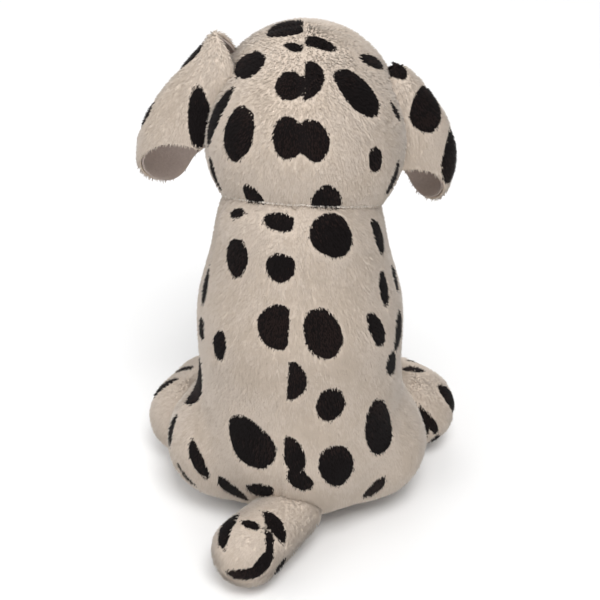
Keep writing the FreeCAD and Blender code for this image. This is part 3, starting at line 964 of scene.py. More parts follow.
@dataclass
class PileMaker:
    """Grows short pile on a skin: closed three-sided tufts that lean down the nap."""

    density: float = 1.5
    length: float = 2.1
    radius: float = 0.42
    lean: float = 1.0
    scatter: float = 0.25
    seed: int = 11
    drift: float = 38.0
    ragged: float = 0.6
    smallest: float = 0.65
    largest: float = 1.1
    tint_scatter: float = 0.12
    tint_split: float = 0.52
    tree: bpy.types.NodeTree | None = None
    inputs: dict[str, str] = field(default_factory=dict)

    def build(self) -> bpy.types.NodeTree:
        """The node group that scatters the tufts.

        Returns:
            The node group.
        """
        tree = bpy.data.node_groups.new("plush_pile", "GeometryNodeTree")
        tree.interface.new_socket(name="Skin", in_out="INPUT", socket_type="NodeSocketGeometry")
        tree.interface.new_socket(name="Pile", in_out="OUTPUT", socket_type="NodeSocketGeometry")
        for key, name, kind, value in (
            ("density", "Tufts per square metre", "NodeSocketFloat", self.density * 1e6),
            ("length", "Tuft length", "NodeSocketFloat", self.length * MM),
            ("radius", "Tuft radius", "NodeSocketFloat", self.radius * MM),
            ("lean", "Lean", "NodeSocketFloat", self.lean),
            ("scatter", "Scatter", "NodeSocketFloat", self.scatter),
            ("seed", "Seed", "NodeSocketInt", self.seed),
            ("dark", "Dark patches", "NodeSocketBool", False),
            ("side", "Side", "NodeSocketFloat", 0.0),
            ("main", "Main finish", "NodeSocketMaterial", None),
            ("second", "Second finish", "NodeSocketMaterial", None),
            ("drift", "Drift scale", "NodeSocketFloat", self.drift),
        ):
            self.inputs[key] = add_input(tree, name, kind, value)
        given = add_node(tree, "NodeGroupInput").outputs

        def attribute(name: str, kind: str = "FLOAT") -> bpy.types.NodeSocket:
            """The values of a named attribute.

            Args:
                name: the attribute's name.
                kind: its data type.

            Returns:
                The socket that gives them.
            """
            node = add_node(tree, "GeometryNodeInputNamedAttribute", {"Name": name}, data_type=kind)
            return node.outputs["Attribute"]

        def sums(operation: str, a: object, b: object) -> bpy.types.NodeSocket:
            """A sum on two numbers or sockets.

            Args:
                operation: the sum's name.
                a: the first number or socket.
                b: the second.

            Returns:
                The socket that gives the result.
            """
            node = add_node(tree, "ShaderNodeMath", {0: a, 1: b}, operation=operation)
            return node.outputs["Value"]

        def vectors(operation: str, **terms: bpy.types.NodeSocket) -> bpy.types.NodeSocket:
            """A sum on vectors.

            Args:
                operation: the sum's name.
                **terms: the sockets a, b and scale, as far as the sum needs them.

            Returns:
                The socket that gives the result.
            """
            places = {"a": 0, "b": 1, "scale": "Scale"}
            inputs = {places[key]: socket for key, socket in terms.items()}
            return add_node(
                tree, "ShaderNodeVectorMath", inputs, operation=operation
            ).outputs["Vector"]

        def chance(low: object, high: object, salt: int, kind: str = "FLOAT") -> bpy.types.NodeSocket:
            """A random number or vector for each tuft.

            Args:
                low: the smallest.
                high: the largest.
                salt: what is added to the seed, so that draws differ.
                kind: the data type.

            Returns:
                The socket that gives it.
            """
            first = 0 if kind == "FLOAT_VECTOR" else 2
            seed = sums("ADD", given["Seed"], float(salt))
            inputs = {first: low, first + 1: high, "Seed": seed}
            node = add_node(tree, "FunctionNodeRandomValue", inputs, data_type=kind)
            return next(output for output in node.outputs if output.enabled)

        def stored(
            points: bpy.types.NodeSocket, name: str, value: bpy.types.NodeSocket, kind: str
        ) -> bpy.types.NodeSocket:
            """Points that keep a value under a name.

            Args:
                points: the points.
                name: the new attribute's name.
                value: what to keep.
                kind: its data type.

            Returns:
                The socket that gives the points.
            """
            inputs = {"Geometry": points, "Name": name, "Value": value}
            return add_node(
                tree, "GeometryNodeStoreNamedAttribute", inputs, data_type=kind, domain="POINT"
            ).outputs["Geometry"]

        scatter = add_node(
            tree,
            "GeometryNodeDistributePointsOnFaces",
            {
                "Mesh": given["Skin"],
                "Density": sums("MULTIPLY", given["Tufts per square metre"], attribute("fur")),
                "Seed": given["Seed"],
            },
        ).outputs

        # A tuft is dark where its root is inside a patch. The other colour's tufts are left out.
        ragged = sums("ADD", attribute("spot"), chance(-self.ragged, self.ragged, 1))
        is_dark = sums("LESS_THAN", ragged, 0.0)
        wrong_colour = add_node(
            tree,
            "FunctionNodeCompare",
            {"A": is_dark, "B": given["Dark patches"], "Epsilon": 0.5},
            data_type="FLOAT",
            operation="NOT_EQUAL",
        ).outputs["Result"]
        place = add_node(tree, "GeometryNodeInputPosition").outputs["Position"]
        sideways = add_node(tree, "ShaderNodeSeparateXYZ", {"Vector": place}).outputs["X"]
        other_side = sums("LESS_THAN", sums("MULTIPLY", sideways, given["Side"]), 0.0)
        unwanted = add_node(
            tree, "FunctionNodeBooleanMath", {0: wrong_colour, 1: other_side}, operation="OR"
        ).outputs["Boolean"]
        thinned = add_node(
            tree,
            "GeometryNodeDeleteGeometry",
            {"Geometry": scatter["Points"], "Selection": unwanted},
            domain="POINT",
        ).outputs["Geometry"]

        leaning = vectors("SCALE", a=attribute("nap", "FLOAT_VECTOR"), scale=given["Lean"])
        any_way = chance((-1.0, -1.0, -1.0), (1.0, 1.0, 1.0), 2, "FLOAT_VECTOR")
        loose = vectors("SCALE", a=any_way, scale=given["Scatter"])
        combed = vectors("ADD", a=scatter["Normal"], b=leaning)
        heading = vectors("ADD", a=combed, b=loose)
        turn = add_node(tree, "FunctionNodeAlignRotationToVector", {"Vector": heading}, axis="Z")
        drift = add_node(tree, "ShaderNodeTexNoise", {"Scale": given["Drift scale"]}).outputs["Fac"]
        tint = sums("ADD", drift, chance(-self.tint_scatter, self.tint_scatter, 4))
        points = stored(thinned, "root_normal", scatter["Normal"], "FLOAT_VECTOR")
        points = stored(points, "tint", tint, "FLOAT")

        tuft = add_node(
            tree,
            "GeometryNodeMeshCone",
            {
                "Vertices": 3,
                "Radius Top": 0.0,
                "Radius Bottom": given["Tuft radius"],
                "Depth": given["Tuft length"],
            },
            fill_type="NGON",
        ).outputs["Mesh"]
        size = sums("MULTIPLY", chance(self.smallest, self.largest, 3), attribute("pile_length"))
        planted = add_node(
            tree,
            "GeometryNodeInstanceOnPoints",
            {
                "Points": points,
                "Instance": tuft,
                "Rotation": turn.outputs["Rotation"],
                "Scale": size,
            },
        ).outputs["Instances"]
        whole = add_node(tree, "GeometryNodeRealizeInstances", {"Geometry": planted})
        first = add_node(
            tree,
            "GeometryNodeSetMaterial",
            {"Geometry": whole.outputs["Geometry"], "Material": given["Main finish"]},
        )
        second = add_node(
            tree,
            "GeometryNodeSetMaterial",
            {
                "Geometry": first.outputs["Geometry"],
                "Selection": sums("GREATER_THAN", attribute("tint"), self.tint_split),
                "Material": given["Second finish"],
            },
        )
        add_node(tree, "NodeGroupOutput", {"Pile": second.outputs["Geometry"]})
        self.tree = tree
        return tree

    def grow(
        self, skin: bpy.types.Object, name: str, dark: bool, side: float = 0.0
    ) -> bpy.types.Object | None:
        """Pile of one colour on a skin, as its own object.

        Args:
            skin: the skin to grow it on.
            name: the new object's name.
            dark: whether this is the patches' pile, or the pale pile round them.
            side: 1 or -1 for one half only, or 0 for all of it.

        Returns:
            The pile, or None where no tuft of that colour grows.
        """
        tree = self.tree or self.build()
        host = show(name + "_host", skin.data)
        grower = host.modifiers.new("pile", "NODES")
        grower.node_group = tree
        grower[self.inputs["dark"]] = dark
        grower[self.inputs["side"]] = float(side)
        main, second = ("black_pile", "brown_black_pile") if dark else ("pale_pile", "warm_pile")
        grower[self.inputs["main"]] = MATERIALS[main]
        grower[self.inputs["second"]] = MATERIALS[second]
        mesh = baked(host, name)
        bpy.data.objects.remove(host)
        if not mesh.vertices:
            bpy.data.meshes.remove(mesh)
            return None
        pile = show(name, mesh)
        normals = np.empty(len(mesh.vertices) * 3, dtype=np.float32)
        mesh.attributes["root_normal"].data.foreach_get("vector", normals)
        shade_smooth(mesh)
        mesh.normals_split_custom_set_from_vertices(unit(normals.reshape(-1, 3)).tolist())
        for attribute in [a.name for a in mesh.attributes if a.name in EXTRA_ATTRIBUTES]:
            mesh.attributes.remove(mesh.attributes[attribute])
        return pile


EXTRA_ATTRIBUTES = ("root_normal", "tint", "nap", "spot", "fur", "pile_length")


@dataclass
class Stitcher:
    """Sews lines of short stitches along paths."""

    pitch: float = 2.3
    length: float = 2.5
    radius: float = 0.55
    tree: bpy.types.NodeTree | None = None
    inputs: dict[str, str] = field(default_factory=dict)

    def build(self) -> bpy.types.NodeTree:
        """The node group that lays stitches along a path.

        Returns:
            The node group.
        """
        tree = bpy.data.node_groups.new("stitches", "GeometryNodeTree")
        tree.interface.new_socket(name="Path", in_out="INPUT", socket_type="NodeSocketGeometry")
        tree.interface.new_socket(name="Stitches", in_out="OUTPUT", socket_type="NodeSocketGeometry")
        for key, name, kind, value in (
            ("pitch", "Pitch", "NodeSocketFloat", self.pitch * MM),
            ("size", "Stitch size", "NodeSocketVector", None),
            ("finish", "Finish", "NodeSocketMaterial", None),
        ):
            self.inputs[key] = add_input(tree, name, kind, value)
        given = add_node(tree, "NodeGroupInput").outputs
        path = add_node(tree, "GeometryNodeMeshToCurve", {"Mesh": given["Path"]})
        steps = add_node(
            tree,
            "GeometryNodeResampleCurve",
            {"Curve": path.outputs["Curve"], "Length": given["Pitch"]},
            mode="LENGTH",
        )
        tangent = add_node(tree, "GeometryNodeInputTangent").outputs["Tangent"]
        turn = add_node(tree, "FunctionNodeAlignRotationToVector", {"Vector": tangent}, axis="Z")
        bead = add_node(
            tree, "GeometryNodeMeshUVSphere", {"Segments": 10, "Rings": 8, "Radius": 1.0}
        )
        laid = add_node(
            tree,
            "GeometryNodeInstanceOnPoints",
            {
                "Points": steps.outputs["Curve"],
                "Instance": bead.outputs["Mesh"],
                "Rotation": turn.outputs["Rotation"],
                "Scale": given["Stitch size"],
            },
        ).outputs["Instances"]
        whole = add_node(tree, "GeometryNodeRealizeInstances", {"Geometry": laid})
        finish = add_node(
            tree,
            "GeometryNodeSetMaterial",
            {"Geometry": whole.outputs["Geometry"], "Material": given["Finish"]},
        )
        add_node(tree, "NodeGroupOutput", {"Stitches": finish.outputs["Geometry"]})
        self.tree = tree
        return tree

    def sew(
        self,
        name: str,
        lines: Sequence[np.ndarray],
        surface: MeshSurface,
        finish: str,
        body: str,
        stands_for: Sequence[str],
        lift: float = 1.5,
    ) -> None:
        """Sews stitches along lines laid on a surface.

        Args:
            name: the new object's name.
            lines: the lines' points in rows, in millimetres.
            surface: what they lie on.
            finish: the thread's finish.
            body: the body that carries them.
            stands_for: the CAD nodes that they replace.
            lift: how far above the surface the thread's middle is.
        """
        tree = self.tree or self.build()
        corners, edges = [], []
        for line in lines:
            first = len(corners)
            corners += list(surface.settle(line) + surface.normal(line) * lift)
            edges += [(first + step, first + step + 1) for step in range(len(line) - 1)]
        path = bpy.data.meshes.new(name + "_path")
        path.from_pydata((np.array(corners) * MM).tolist(), edges, [])
        host = show(path.name, path)
        sewing = host.modifiers.new("stitches", "NODES")
        sewing.node_group = tree
        sewing[self.inputs["pitch"]] = self.pitch * MM
        size = (self.radius * MM, self.radius * MM, self.length * MM / 2.0)
        sewing[self.inputs["size"]] = size
        sewing[self.inputs["finish"]] = MATERIALS[finish]
        mesh = baked(host, name)
        drop(host)
        shade_smooth(mesh)
        stitches = show(name, mesh)
        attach(stitches, body)
        if stands_for:
            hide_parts(*stands_for)


# Soft parts ----------------------------------------------------------------------------

PILE = PileMaker()
STITCHER = Stitcher()

# Where pile thins out, from none to full, in millimetres: how far a skin is outside a
# neighbour, above the floor, from a seam and from a spot's outline.
CLEAR_OF_NEIGHBOUR = (-3.5, -2.0)
CLEAR_OF_FLOOR = (1.6, 3.4)
CLEAR_OF_SEAM = (0.3, 2.5)
CLEAR_OF_OUTLINE = (0.3, 2.0)
# The shortest pile, as a share of its full length.
SHORT_AT_SEAM = 0.8
SHORT_AT_OUTLINE = 0.62


@dataclass
class SoftPart:
    """A stuffed part of the dog: a skin over a form, with seams, spots and pile.

    Pile is left off inside the forms that the part is hidden in, and round the bare places, each
    a centre and a radius. With halves, the pile is two pieces, one on each side of the dog.
    """

    name: str
    body: str
    form: Form
    nap: Callable[[np.ndarray], np.ndarray]
    seams: tuple[Seam, ...] = ()
    patterns: tuple[Pattern, ...] = ()
    hidden_in: tuple[Form, ...] = ()
    bare: tuple[tuple[Triple, float], ...] = ()
    halves: bool = False
    fill: float = 0.8
    stuffing: Stuffing = Stuffing()
    seam_depth: float = 0.9
    seam_width: float = 1.5

    def nodes(self) -> list[str]:
        """The CAD nodes that this part's skin stands for."""
        raise NotImplementedError

    def build(self) -> bpy.types.Object:
        """Makes the skin and its pile, and ties both to the part's body.

        Returns:
            The skin.
        """
        skin = self.stuffing.skin(self.name + "_skin", self.form, self.seams)
        mesh = skin.data
        points = positions(mesh)
        normals = self.form.normal(points)
        near = np.full(len(points), 1e3)
        for seam in self.seams:
            near = np.minimum(near, seam.distance(points))
        points -= normals * (self.seam_depth * np.exp(-((near / self.seam_width) ** 2)))[:, None]
        if self.form.floor is not None:
            points[:, 2] = np.maximum(points[:, 2], self.form.floor)
        set_positions(mesh, points)
        self.mark(mesh, points, normals, near)
        mesh.materials.clear()
        mesh.materials.append(MATERIALS["cloth"])
        shade_smooth(mesh)
        self.dress(skin)
        return skin

    def mark(
        self, mesh: bpy.types.Mesh, points: np.ndarray, normals: np.ndarray, near: np.ndarray
    ) -> None:
        """Stores where the spots, the nap and the pile are.

        Args:
            mesh: the skin's mesh.
            points: its vertices in millimetres.
            normals: the form's normals there.
            near: each vertex's distance from the nearest seam.
        """
        spot = np.full(len(points), NO_SPOT)
        seam = self.seams[0] if self.seams else None
        for pattern in self.patterns:
            spot = np.minimum(spot, pattern.distance(points, self.form, seam))
        fur = np.ones(len(points))
        for other in self.hidden_in:
            fur *= smooth_step(other.distance(points), *CLEAR_OF_NEIGHBOUR)
        for centre, radius in self.bare:
            away = np.linalg.norm(points - np.array(centre), axis=1)
            fur *= smooth_step(away, radius - 0.5, radius + 0.5)
        if self.form.floor is not None:
            fur *= smooth_step(points[:, 2] - self.form.floor, *CLEAR_OF_FLOOR)
        store(mesh, "spot", spot)
        store(mesh, "fur", fur)
        store(mesh, "nap", tangent_part(self.nap(points), normals))
        at_seam = SHORT_AT_SEAM + (1.0 - SHORT_AT_SEAM) * smooth_step(near, *CLEAR_OF_SEAM)
        store(mesh, "pile_length", trimmed(spot) * at_seam)

    def dress(self, skin: bpy.types.Object) -> None:
        """Grows the pile, ties every piece to the part's body and hides the CAD panels it replaces.

        Args:
            skin: the finished skin.
        """
        for dark in (False, True):
            shade = "black" if dark else "pale"
            sides = ((1.0, "_left"), (-1.0, "_right")) if self.halves else ((0.0, ""),)
            for side, word in sides:
                pile = PILE.grow(skin, f"{self.name}_{shade}_pile{word}", dark, side)
                if pile is None:
                    continue
                LOG.info("%s: %d faces", pile.name, len(pile.data.polygons))
                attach(pile, self.body)
        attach(skin, self.body)
        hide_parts(*self.nodes())
        LOG.info("%s: %d faces", skin.name, len(skin.data.polygons))


def trimmed(spot: np.ndarray) -> np.ndarray:
    """How long the pile is beside a spot's outline, where short tufts keep the edge soft.

    Args:
        spot: distances from the nearest spot's outline, in millimetres.

    Returns:
        Shares of the full length.
    """
    away = smooth_step(np.abs(spot), *CLEAR_OF_OUTLINE)
    return SHORT_AT_OUTLINE + (1.0 - SHORT_AT_OUTLINE) * away


def downward(points: np.ndarray) -> np.ndarray:
    """Nap that runs down and a little back.

    Args:
        points: places in rows.

    Returns:
        One direction for each place.
    """
    return np.tile(np.array([0.0, 0.25, -1.0]), (len(points), 1))


def tailward(points: np.ndarray) -> np.ndarray:
    """Nap that runs along the tail to its tip.

    Args:
        points: places in rows.

    Returns:
        One direction for each place.
    """
    return np.tile(np.array([0.5, 0.8, -0.3]), (len(points), 1))


TORSO_FORM = Form(
    (
        Lobe((0.0, -2.0, 48.0), 53.0, (0.0, -5.5, 108.0), 48.0),
        Lobe((0.0, -5.5, 108.0), 48.0, (0.0, -8.0, 152.0), 40.5),
        ball((37.0, 0.0, 33.0), 31.5),
        ball((-33.5, 1.0, 33.0), 31.5),
    ),
    flow=10.0,
    floor=0.0,
)
HEAD_FORM = Form(
    (
        Lobe((-2.5, -27.0, 191.0), 47.5, (-2.5, -36.0, 199.0), 44.5),
        Lobe((-2.5, -66.0, 183.0), 24.0, (-2.5, -86.0, 180.0), 19.0),
    ),
    flow=10.0,
)
TAIL_FORM = Form((Lobe((4.0, 42.0, 21.0), 15.5, (25.0, 66.0, 18.5), 18.5),), floor=0.0)


def front_leg_form(side: Side) -> Form:
    """The form of one front leg.

    Args:
        side: which leg.

    Returns:
        The form, from the shoulder to the paw.
    """
    sign = side.value
    return Form(
        (Lobe((34.0 * sign, -29.0, 97.0), 17.5, (18.0 * sign, -80.0, 14.5), 14.5),), floor=0.0
    )


def hind_leg_form(side: Side) -> Form:
    """The form of one hind leg.

    Args:
        side: which leg.

    Returns:
        The form, from the knee to the foot.
    """
    if side is Side.LEFT:
        return Form((Lobe((59.0, -31.0, 23.0), 22.0, (52.0, -64.0, 17.0), 17.0),), floor=0.0)
    return Form((Lobe((-61.5, -37.0, 23.0), 22.0, (-54.0, -62.0, 17.0), 17.0),), floor=0.0)


TORSO_SPOTS = (
    # Shoulders, from the neck down.
    Spot(15, 176, Size.NARROW, 85, Side.LEFT),
    Spot(57, 173, Size.FLECK, -60),
    Spot(-24, 170, Size.BROAD, 35),
    Spot(-69, 158, Size.STREAK, 15),
    Spot(13, 157, Size.ROUND),
    Spot(47, 155, Size.OVAL, -10),
    # Middle of the back.
    Spot(-62, 135, Size.NARROW, -10),
    Spot(13, 130, Size.BROAD, 5, Side.LEFT),
    Spot(-85, 130, Size.MEDIUM),
    Spot(77, 129, Size.NARROW, 20),
    Spot(-13, 127, Size.LARGE, 12),
    Spot(-48, 120, Size.STREAK, 20),
    Spot(50, 111, Size.MEDIUM, -10),
    Spot(72, 109, Size.SMALL),
    Spot(-72, 108, Size.TALL, -20),
    Spot(7, 104, Size.BROAD, 0, Side.RIGHT),
    Spot(-63, 94, Size.MEDIUM, 25),
    Spot(-17, 89, Size.OVAL, 5),
    # Haunches and rump.
    Spot(86, 71, Size.LONG, -6),
    Spot(-49, 65, Size.LONG, 5),
    Spot(28, 65, Size.HUGE, 30),
    Spot(4, 63, Size.TALL, 20, Side.RIGHT),
    Spot(-20, 54, Size.LARGE, 17),
    Spot(0, 48, Size.MEDIUM, 40),
    Spot(84, 42, Size.NARROW, 15),
    Spot(61, 40, Size.STREAK, 33),
    Spot(23, 37, Size.MEDIUM, -70),
    Spot(-48, 27, Size.MEDIUM, -25),
    Spot(44, 27, Size.TALL, 45),
    Spot(70, 24, Size.SLIVER, 40),
    # Sides and belly.
    Spot(-117, 138, Size.SMALL, -10),
    Spot(105, 128, Size.MEDIUM, 10),
    Spot(162, 118, Size.OVAL, 10),
    Spot(-165, 96, Size.BROAD, -15),
    Spot(161, 74, Size.OVAL),
    Spot(-162, 54, Size.BROAD, 20),
    Spot(166, 32, Size.ROUND, -30),
)
SEAT_SPOTS = (Spot(63, -48, Size.OVAL, 90), Spot(-118, -45, Size.BROAD))


class Torso(SoftPart):
    """The body, with its haunches, closing seam and side seams."""

    def __init__(self) -> None:
        """Sets the torso's form, seams and spots."""
        centre = Seam((2.3, 0.0, 176.0), (1.0, 0.0, 0.05), (0.0, -4.0, 0.0), (0.0, 1.0, 0.0))
        sides = Seam((0.0, -4.0, 0.0), (0.0, 1.0, 0.0))
        limbs = [form(side) for form in (front_leg_form, hind_leg_form) for side in Side]
        super().__init__(
            name="torso",
            body="torso",
            form=TORSO_FORM,
            nap=downward,
            seams=(centre, sides),
            patterns=(
                Pattern((0.0, -2.0, 48.0), TORSO_SPOTS, (0.0, -8.0, 152.0)),
                Pattern((0.0, 0.0, 30.0), SEAT_SPOTS),
            ),
            hidden_in=(HEAD_FORM, *limbs),
            halves=True,
        )

    def nodes(self) -> list[str]:
        """The torso's panels."""
        return ["back_panel_left", "back_panel_right", "belly_panel", "seat_panel"]


HEAD_SPOTS = (
    # Crown.
    Spot(140, 76, Size.BROAD, 90, Side.LEFT),
    Spot(-42, 80, Size.NARROW, 72, Side.RIGHT),
    Spot(31, 77, Size.FLECK, 57, Side.LEFT),
    Spot(3, 56, Size.BROAD, 3, Side.RIGHT),
    Spot(71, 53, Size.OVAL, -62),
    Spot(15, 51, Size.ROUND, 16, Side.LEFT),
    Spot(-88, 48, Size.NARROW, 50),
    Spot(-44, 42, Size.LARGE, 14),
    # Back of the head.
    Spot(10, 22, Size.OVAL, 4, Side.LEFT),
    Spot(-4, 21, Size.OVAL, 12, Side.RIGHT),
    Spot(-71, 20, Size.FLECK, 12),
    Spot(42, 18, Size.LARGE, 4),
    Spot(68, 18, Size.STRIPE, -4),
    Spot(-40, 4, Size.SMALL, -4),
    Spot(-11, -14, Size.OVAL, 3),
    Spot(28, -16, Size.MEDIUM, 30),
    Spot(63, -16, Size.NARROW, 15),
    Spot(-59, -16, Size.NARROW, -20),
    # Brow, cheeks and chin.
    Spot(-160, 50, Size.ROUND, 20),
    Spot(153, 34, Size.SMALL, -25),
    Spot(126, -5, Size.OVAL, -12),
    Spot(-119, -12, Size.OVAL, 8),
    Spot(-144, -44, Size.ROUND, 90),
    Spot(143, -52, Size.ROUND, 30),
)
MUZZLE_SPOTS = (
    Spot(132, 18, Size.DOT),
    Spot(-138, 9, Size.DOT),
    Spot(130, -8, Size.DOT),
    Spot(-125, -16, Size.DOT),
)


class Head(SoftPart):
    """The head and muzzle, with its embroidered mouth.

    The mouth is a line down the muzzle's end ball, which parts into two that curl up. Its sizes
    are angles round that ball, in degrees, and the curl's share of the ball's radius.
    """

    MOUTH_TOP = 4.0
    MOUTH_LOW = 58.0
    MOUTH_SWEEP = 46.0
    MOUTH_CURL = 0.35

    def __init__(self) -> None:
        """Sets the head's form, seams and spots."""
        centre = Seam((-1.0, 0.0, 200.0), (1.0, 0.0, 0.02), (0.0, -40.0, 0.0), (0.0, 1.0, 0.0))
        crown = Seam((0.0, -40.0, 0.0), (0.0, 1.0, 0.0))
        muzzle = Seam((0.0, -75.0, 0.0), (0.0, 1.0, 0.0))
        super().__init__(
            name="head",
            body="head",
            form=HEAD_FORM,
            nap=downward,
            seams=(centre, crown, muzzle),
            patterns=(
                Pattern((-2.5, -31.0, 195.0), HEAD_SPOTS),
                Pattern((-2.5, -80.0, 181.0), MUZZLE_SPOTS),
            ),
            hidden_in=(TORSO_FORM,),
            bare=(
                ((15.1, -74.9, 206.8), 5.6),
                ((-20.1, -74.9, 206.8), 5.6),
                ((-2.5, -102.8, 188.9), 7.0),
            ),
            halves=True,
        )

    def nodes(self) -> list[str]:
        """The head's panels.

        Returns:
            The panels' node names.
        """
        return [
            "head_back_left",
            "head_back_right",
            "forehead_gusset",
            "cheek_left",
            "cheek_right",
            "muzzle_left",
            "muzzle_right",
            "chin_panel",
        ]

    def build(self) -> bpy.types.Object:
        """Makes the head and sews its mouth on.

        Returns:
            The skin.
        """
        skin = super().build()
        muzzle = HEAD_FORM.lobes[1]
        tip, radius = np.array(muzzle.end), muzzle.end_radius
        low = math.radians(self.MOUTH_LOW)
        bottom = np.array([0.0, -math.cos(low), -math.sin(low)])
        falls = np.radians(np.linspace(self.MOUTH_TOP, self.MOUTH_LOW, 12))
        lines = [[tip + radius * np.array([0.0, -math.cos(a), -math.sin(a)]) for a in falls]]
        turns = np.radians(np.linspace(0.0, self.MOUTH_SWEEP, 10))
        for sign in (1.0, -1.0):
            aside = [np.array([sign * math.sin(a), 0.0, self.MOUTH_CURL * a * a]) for a in turns]
            lines.append(
                [tip + radius * (bottom * math.cos(a) + out) for a, out in zip(turns, aside)]
            )
        STITCHER.sew(
            "mouth_stitches",
            [np.array(line) for line in lines],
            MeshSurface(skin.data),
            "thread",
            "head",
            ["mouth_stitch"],
        )
        return skin


FRONT_LEG_SPOTS = {
    Side.LEFT: (
        Spot(98, 96, Size.MEDIUM),
        Spot(-161, 66, Size.SMALL, -10),
        Spot(118, 56, Size.MEDIUM, 12),
        Spot(-52, 34, Size.SMALL),
        Spot(169, 26, Size.CRUMB, 20),
    ),
    Side.RIGHT: (
        Spot(-83, 92, Size.NARROW),
        Spot(175, 76, Size.ROUND, -15),
        Spot(69, 48, Size.SMALL, 12),
        Spot(-124, 44, Size.SMALL, 10),
        Spot(152, 27, Size.CRUMB),
    ),
}


class FrontLeg(SoftPart):
    """A front leg, from the shoulder to the paw, with two sewn toe lines."""

    TOE_OFFSET = 4.5
    TOE_FRONT = -86.0
    TOE_ANGLES = (-38.0, 24.0)

    def __init__(self, side: Side) -> None:
        """Sets the leg's form, seams and spots.

        Args:
            side: which leg.
        """
        self.side = side
        self.lobe = front_leg_form(side).lobes[0]
        offsets = (-self.TOE_OFFSET, self.TOE_OFFSET)
        self.lines = tuple(self.lobe.end[0] + offset for offset in offsets)
        seams = tuple(
            Seam((x, 0.0, 0.0), (1.0, 0.0, 0.0), (0.0, self.TOE_FRONT, 0.0), (0.0, -1.0, 0.0))
            for x in self.lines
        )
        super().__init__(
            name=f"front_leg_{side.word}",
            body=f"front_leg_{side.word}",
            form=front_leg_form(side),
            nap=downward,
            seams=seams,
            patterns=(Pattern(self.lobe.end, FRONT_LEG_SPOTS[side], self.lobe.start),),
            hidden_in=(TORSO_FORM,),
        )

    def nodes(self) -> list[str]:
        """The leg's panels."""
        return [f"front_leg_{self.side.word}_outer", f"front_leg_{self.side.word}_inner"]

    def build(self) -> bpy.types.Object:
        """Makes the leg and sews its toe lines.

        Returns:
            The skin.
        """
        skin = super().build()
        paw, radius = self.lobe.end, self.lobe.end_radius
        angles = np.radians(np.linspace(*self.TOE_ANGLES, 12))
        lines = []
        for x in self.lines:
            ring = math.sqrt(radius**2 - (x - paw[0]) ** 2)
            arc = [(x, paw[1] - ring * math.cos(a), paw[2] + ring * math.sin(a)) for a in angles]
            lines.append(np.array(arc))
        STITCHER.sew(
            f"toe_stitches_{self.side.word}",
            lines,
            MeshSurface(skin.data),
            "thread",
            self.body,
            [f"front_toe_stitches_{self.side.word}"],
        )
        return skin


HIND_LEG_SPOTS = {
    Side.LEFT: (
        Spot(125, 60, Size.SMALL, 30),
        Spot(-115, 53, Size.SMALL, -20),
        Spot(58, 40, Size.NARROW, 20),
        Spot(99, -7, Size.SMALL),
    ),
    Side.RIGHT: (
        Spot(-41, 79, Size.SMALL, 50),
        Spot(-166, 33, Size.CRUMB),
        Spot(-56, 23, Size.TALL, 10),
        Spot(110, 23, Size.SMALL, 15),
        Spot(-13, 15, Size.SLIVER, 12),
        Spot(-22, 8, Size.SLIVER, 22),
        Spot(-29, -16, Size.CRUMB, -20),
    ),
}


class HindLeg(SoftPart):
    """A hind leg, from the knee to the sole, which is a thin round patch."""

    SOLE_RADIUS = 11.5
    SOLE_RINGS = 9
    SOLE_SEGMENTS = 48
    SOLE_RIM = 0.5
    SOLE_CROWN = 0.9
    SOLE_LIFT = 0.1

    def __init__(self, side: Side) -> None:
        """Sets the leg's form and spots.

        Args:
            side: which leg.
        """
        self.side = side
        lobe = hind_leg_form(side).lobes[0]
        toe, knee = np.array(lobe.end), np.array(lobe.start)
        self.sole = toe + unit(toe - knee) * (lobe.end_radius - 1.0)
        super().__init__(
            name=f"hind_leg_{side.word}",
            body=f"hind_leg_{side.word}",
            form=hind_leg_form(side),
            nap=downward,
            patterns=(Pattern(tuple((toe + knee) / 2.0), HIND_LEG_SPOTS[side]),),
            hidden_in=(TORSO_FORM,),
            bare=((tuple(self.sole), self.SOLE_RADIUS),),
        )

    def nodes(self) -> list[str]:
        """The leg's panels."""
        word = self.side.word
        return [f"hind_leg_{word}_upper", f"hind_leg_{word}_lower"]

    def build(self) -> bpy.types.Object:
        """Makes the leg and sews a smooth sole to its foot.

        Returns:
            The skin.
        """
        skin = super().build()
        surface = MeshSurface(skin.data)
        word = self.side.word
        radius, segments = self.SOLE_RADIUS, self.SOLE_SEGMENTS
        middle = surface.settle(self.sole[None])[0]
        ahead = surface.normal(self.sole[None])[0]
        across = unit(np.cross(np.array([0.0, 0.0, 1.0]), ahead))
        upward = np.cross(ahead, across)
        angles = np.linspace(0.0, 2.0 * math.pi, segments, endpoint=False)[:, None]
        outer = np.empty((self.SOLE_RINGS, segments, 3))
        inner = np.empty_like(outer)
        for ring, reach in enumerate(np.linspace(0.0, radius, self.SOLE_RINGS)):
            flat = middle + reach * (np.cos(angles) * across + np.sin(angles) * upward)
            on_skin = surface.settle(flat)
            outward = surface.normal(flat)
            crown = math.sqrt(1.0 - (reach / radius) ** 4 * 0.9)
            outer[ring] = on_skin + outward * (self.SOLE_RIM + self.SOLE_CROWN * crown)
            inner[ring] = on_skin + outward * self.SOLE_LIFT
        name = f"hind_sole_{word}_patch"
        mesh = shell_mesh(name, outer, inner, closed=True)
        mesh.materials.append(MATERIALS["sole"])
        patch = show(name, mesh)
        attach(patch, self.body)
        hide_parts(f"hind_sole_{word}")
        edge = np.concatenate([outer[-2], outer[-2][:1]])
        STITCHER.sew(
            f"sole_stitches_{word}",
            [edge],
            MeshSurface(mesh),
            "pale_thread",
            self.body,
            [],
            lift=0.2,
        )
        return skin


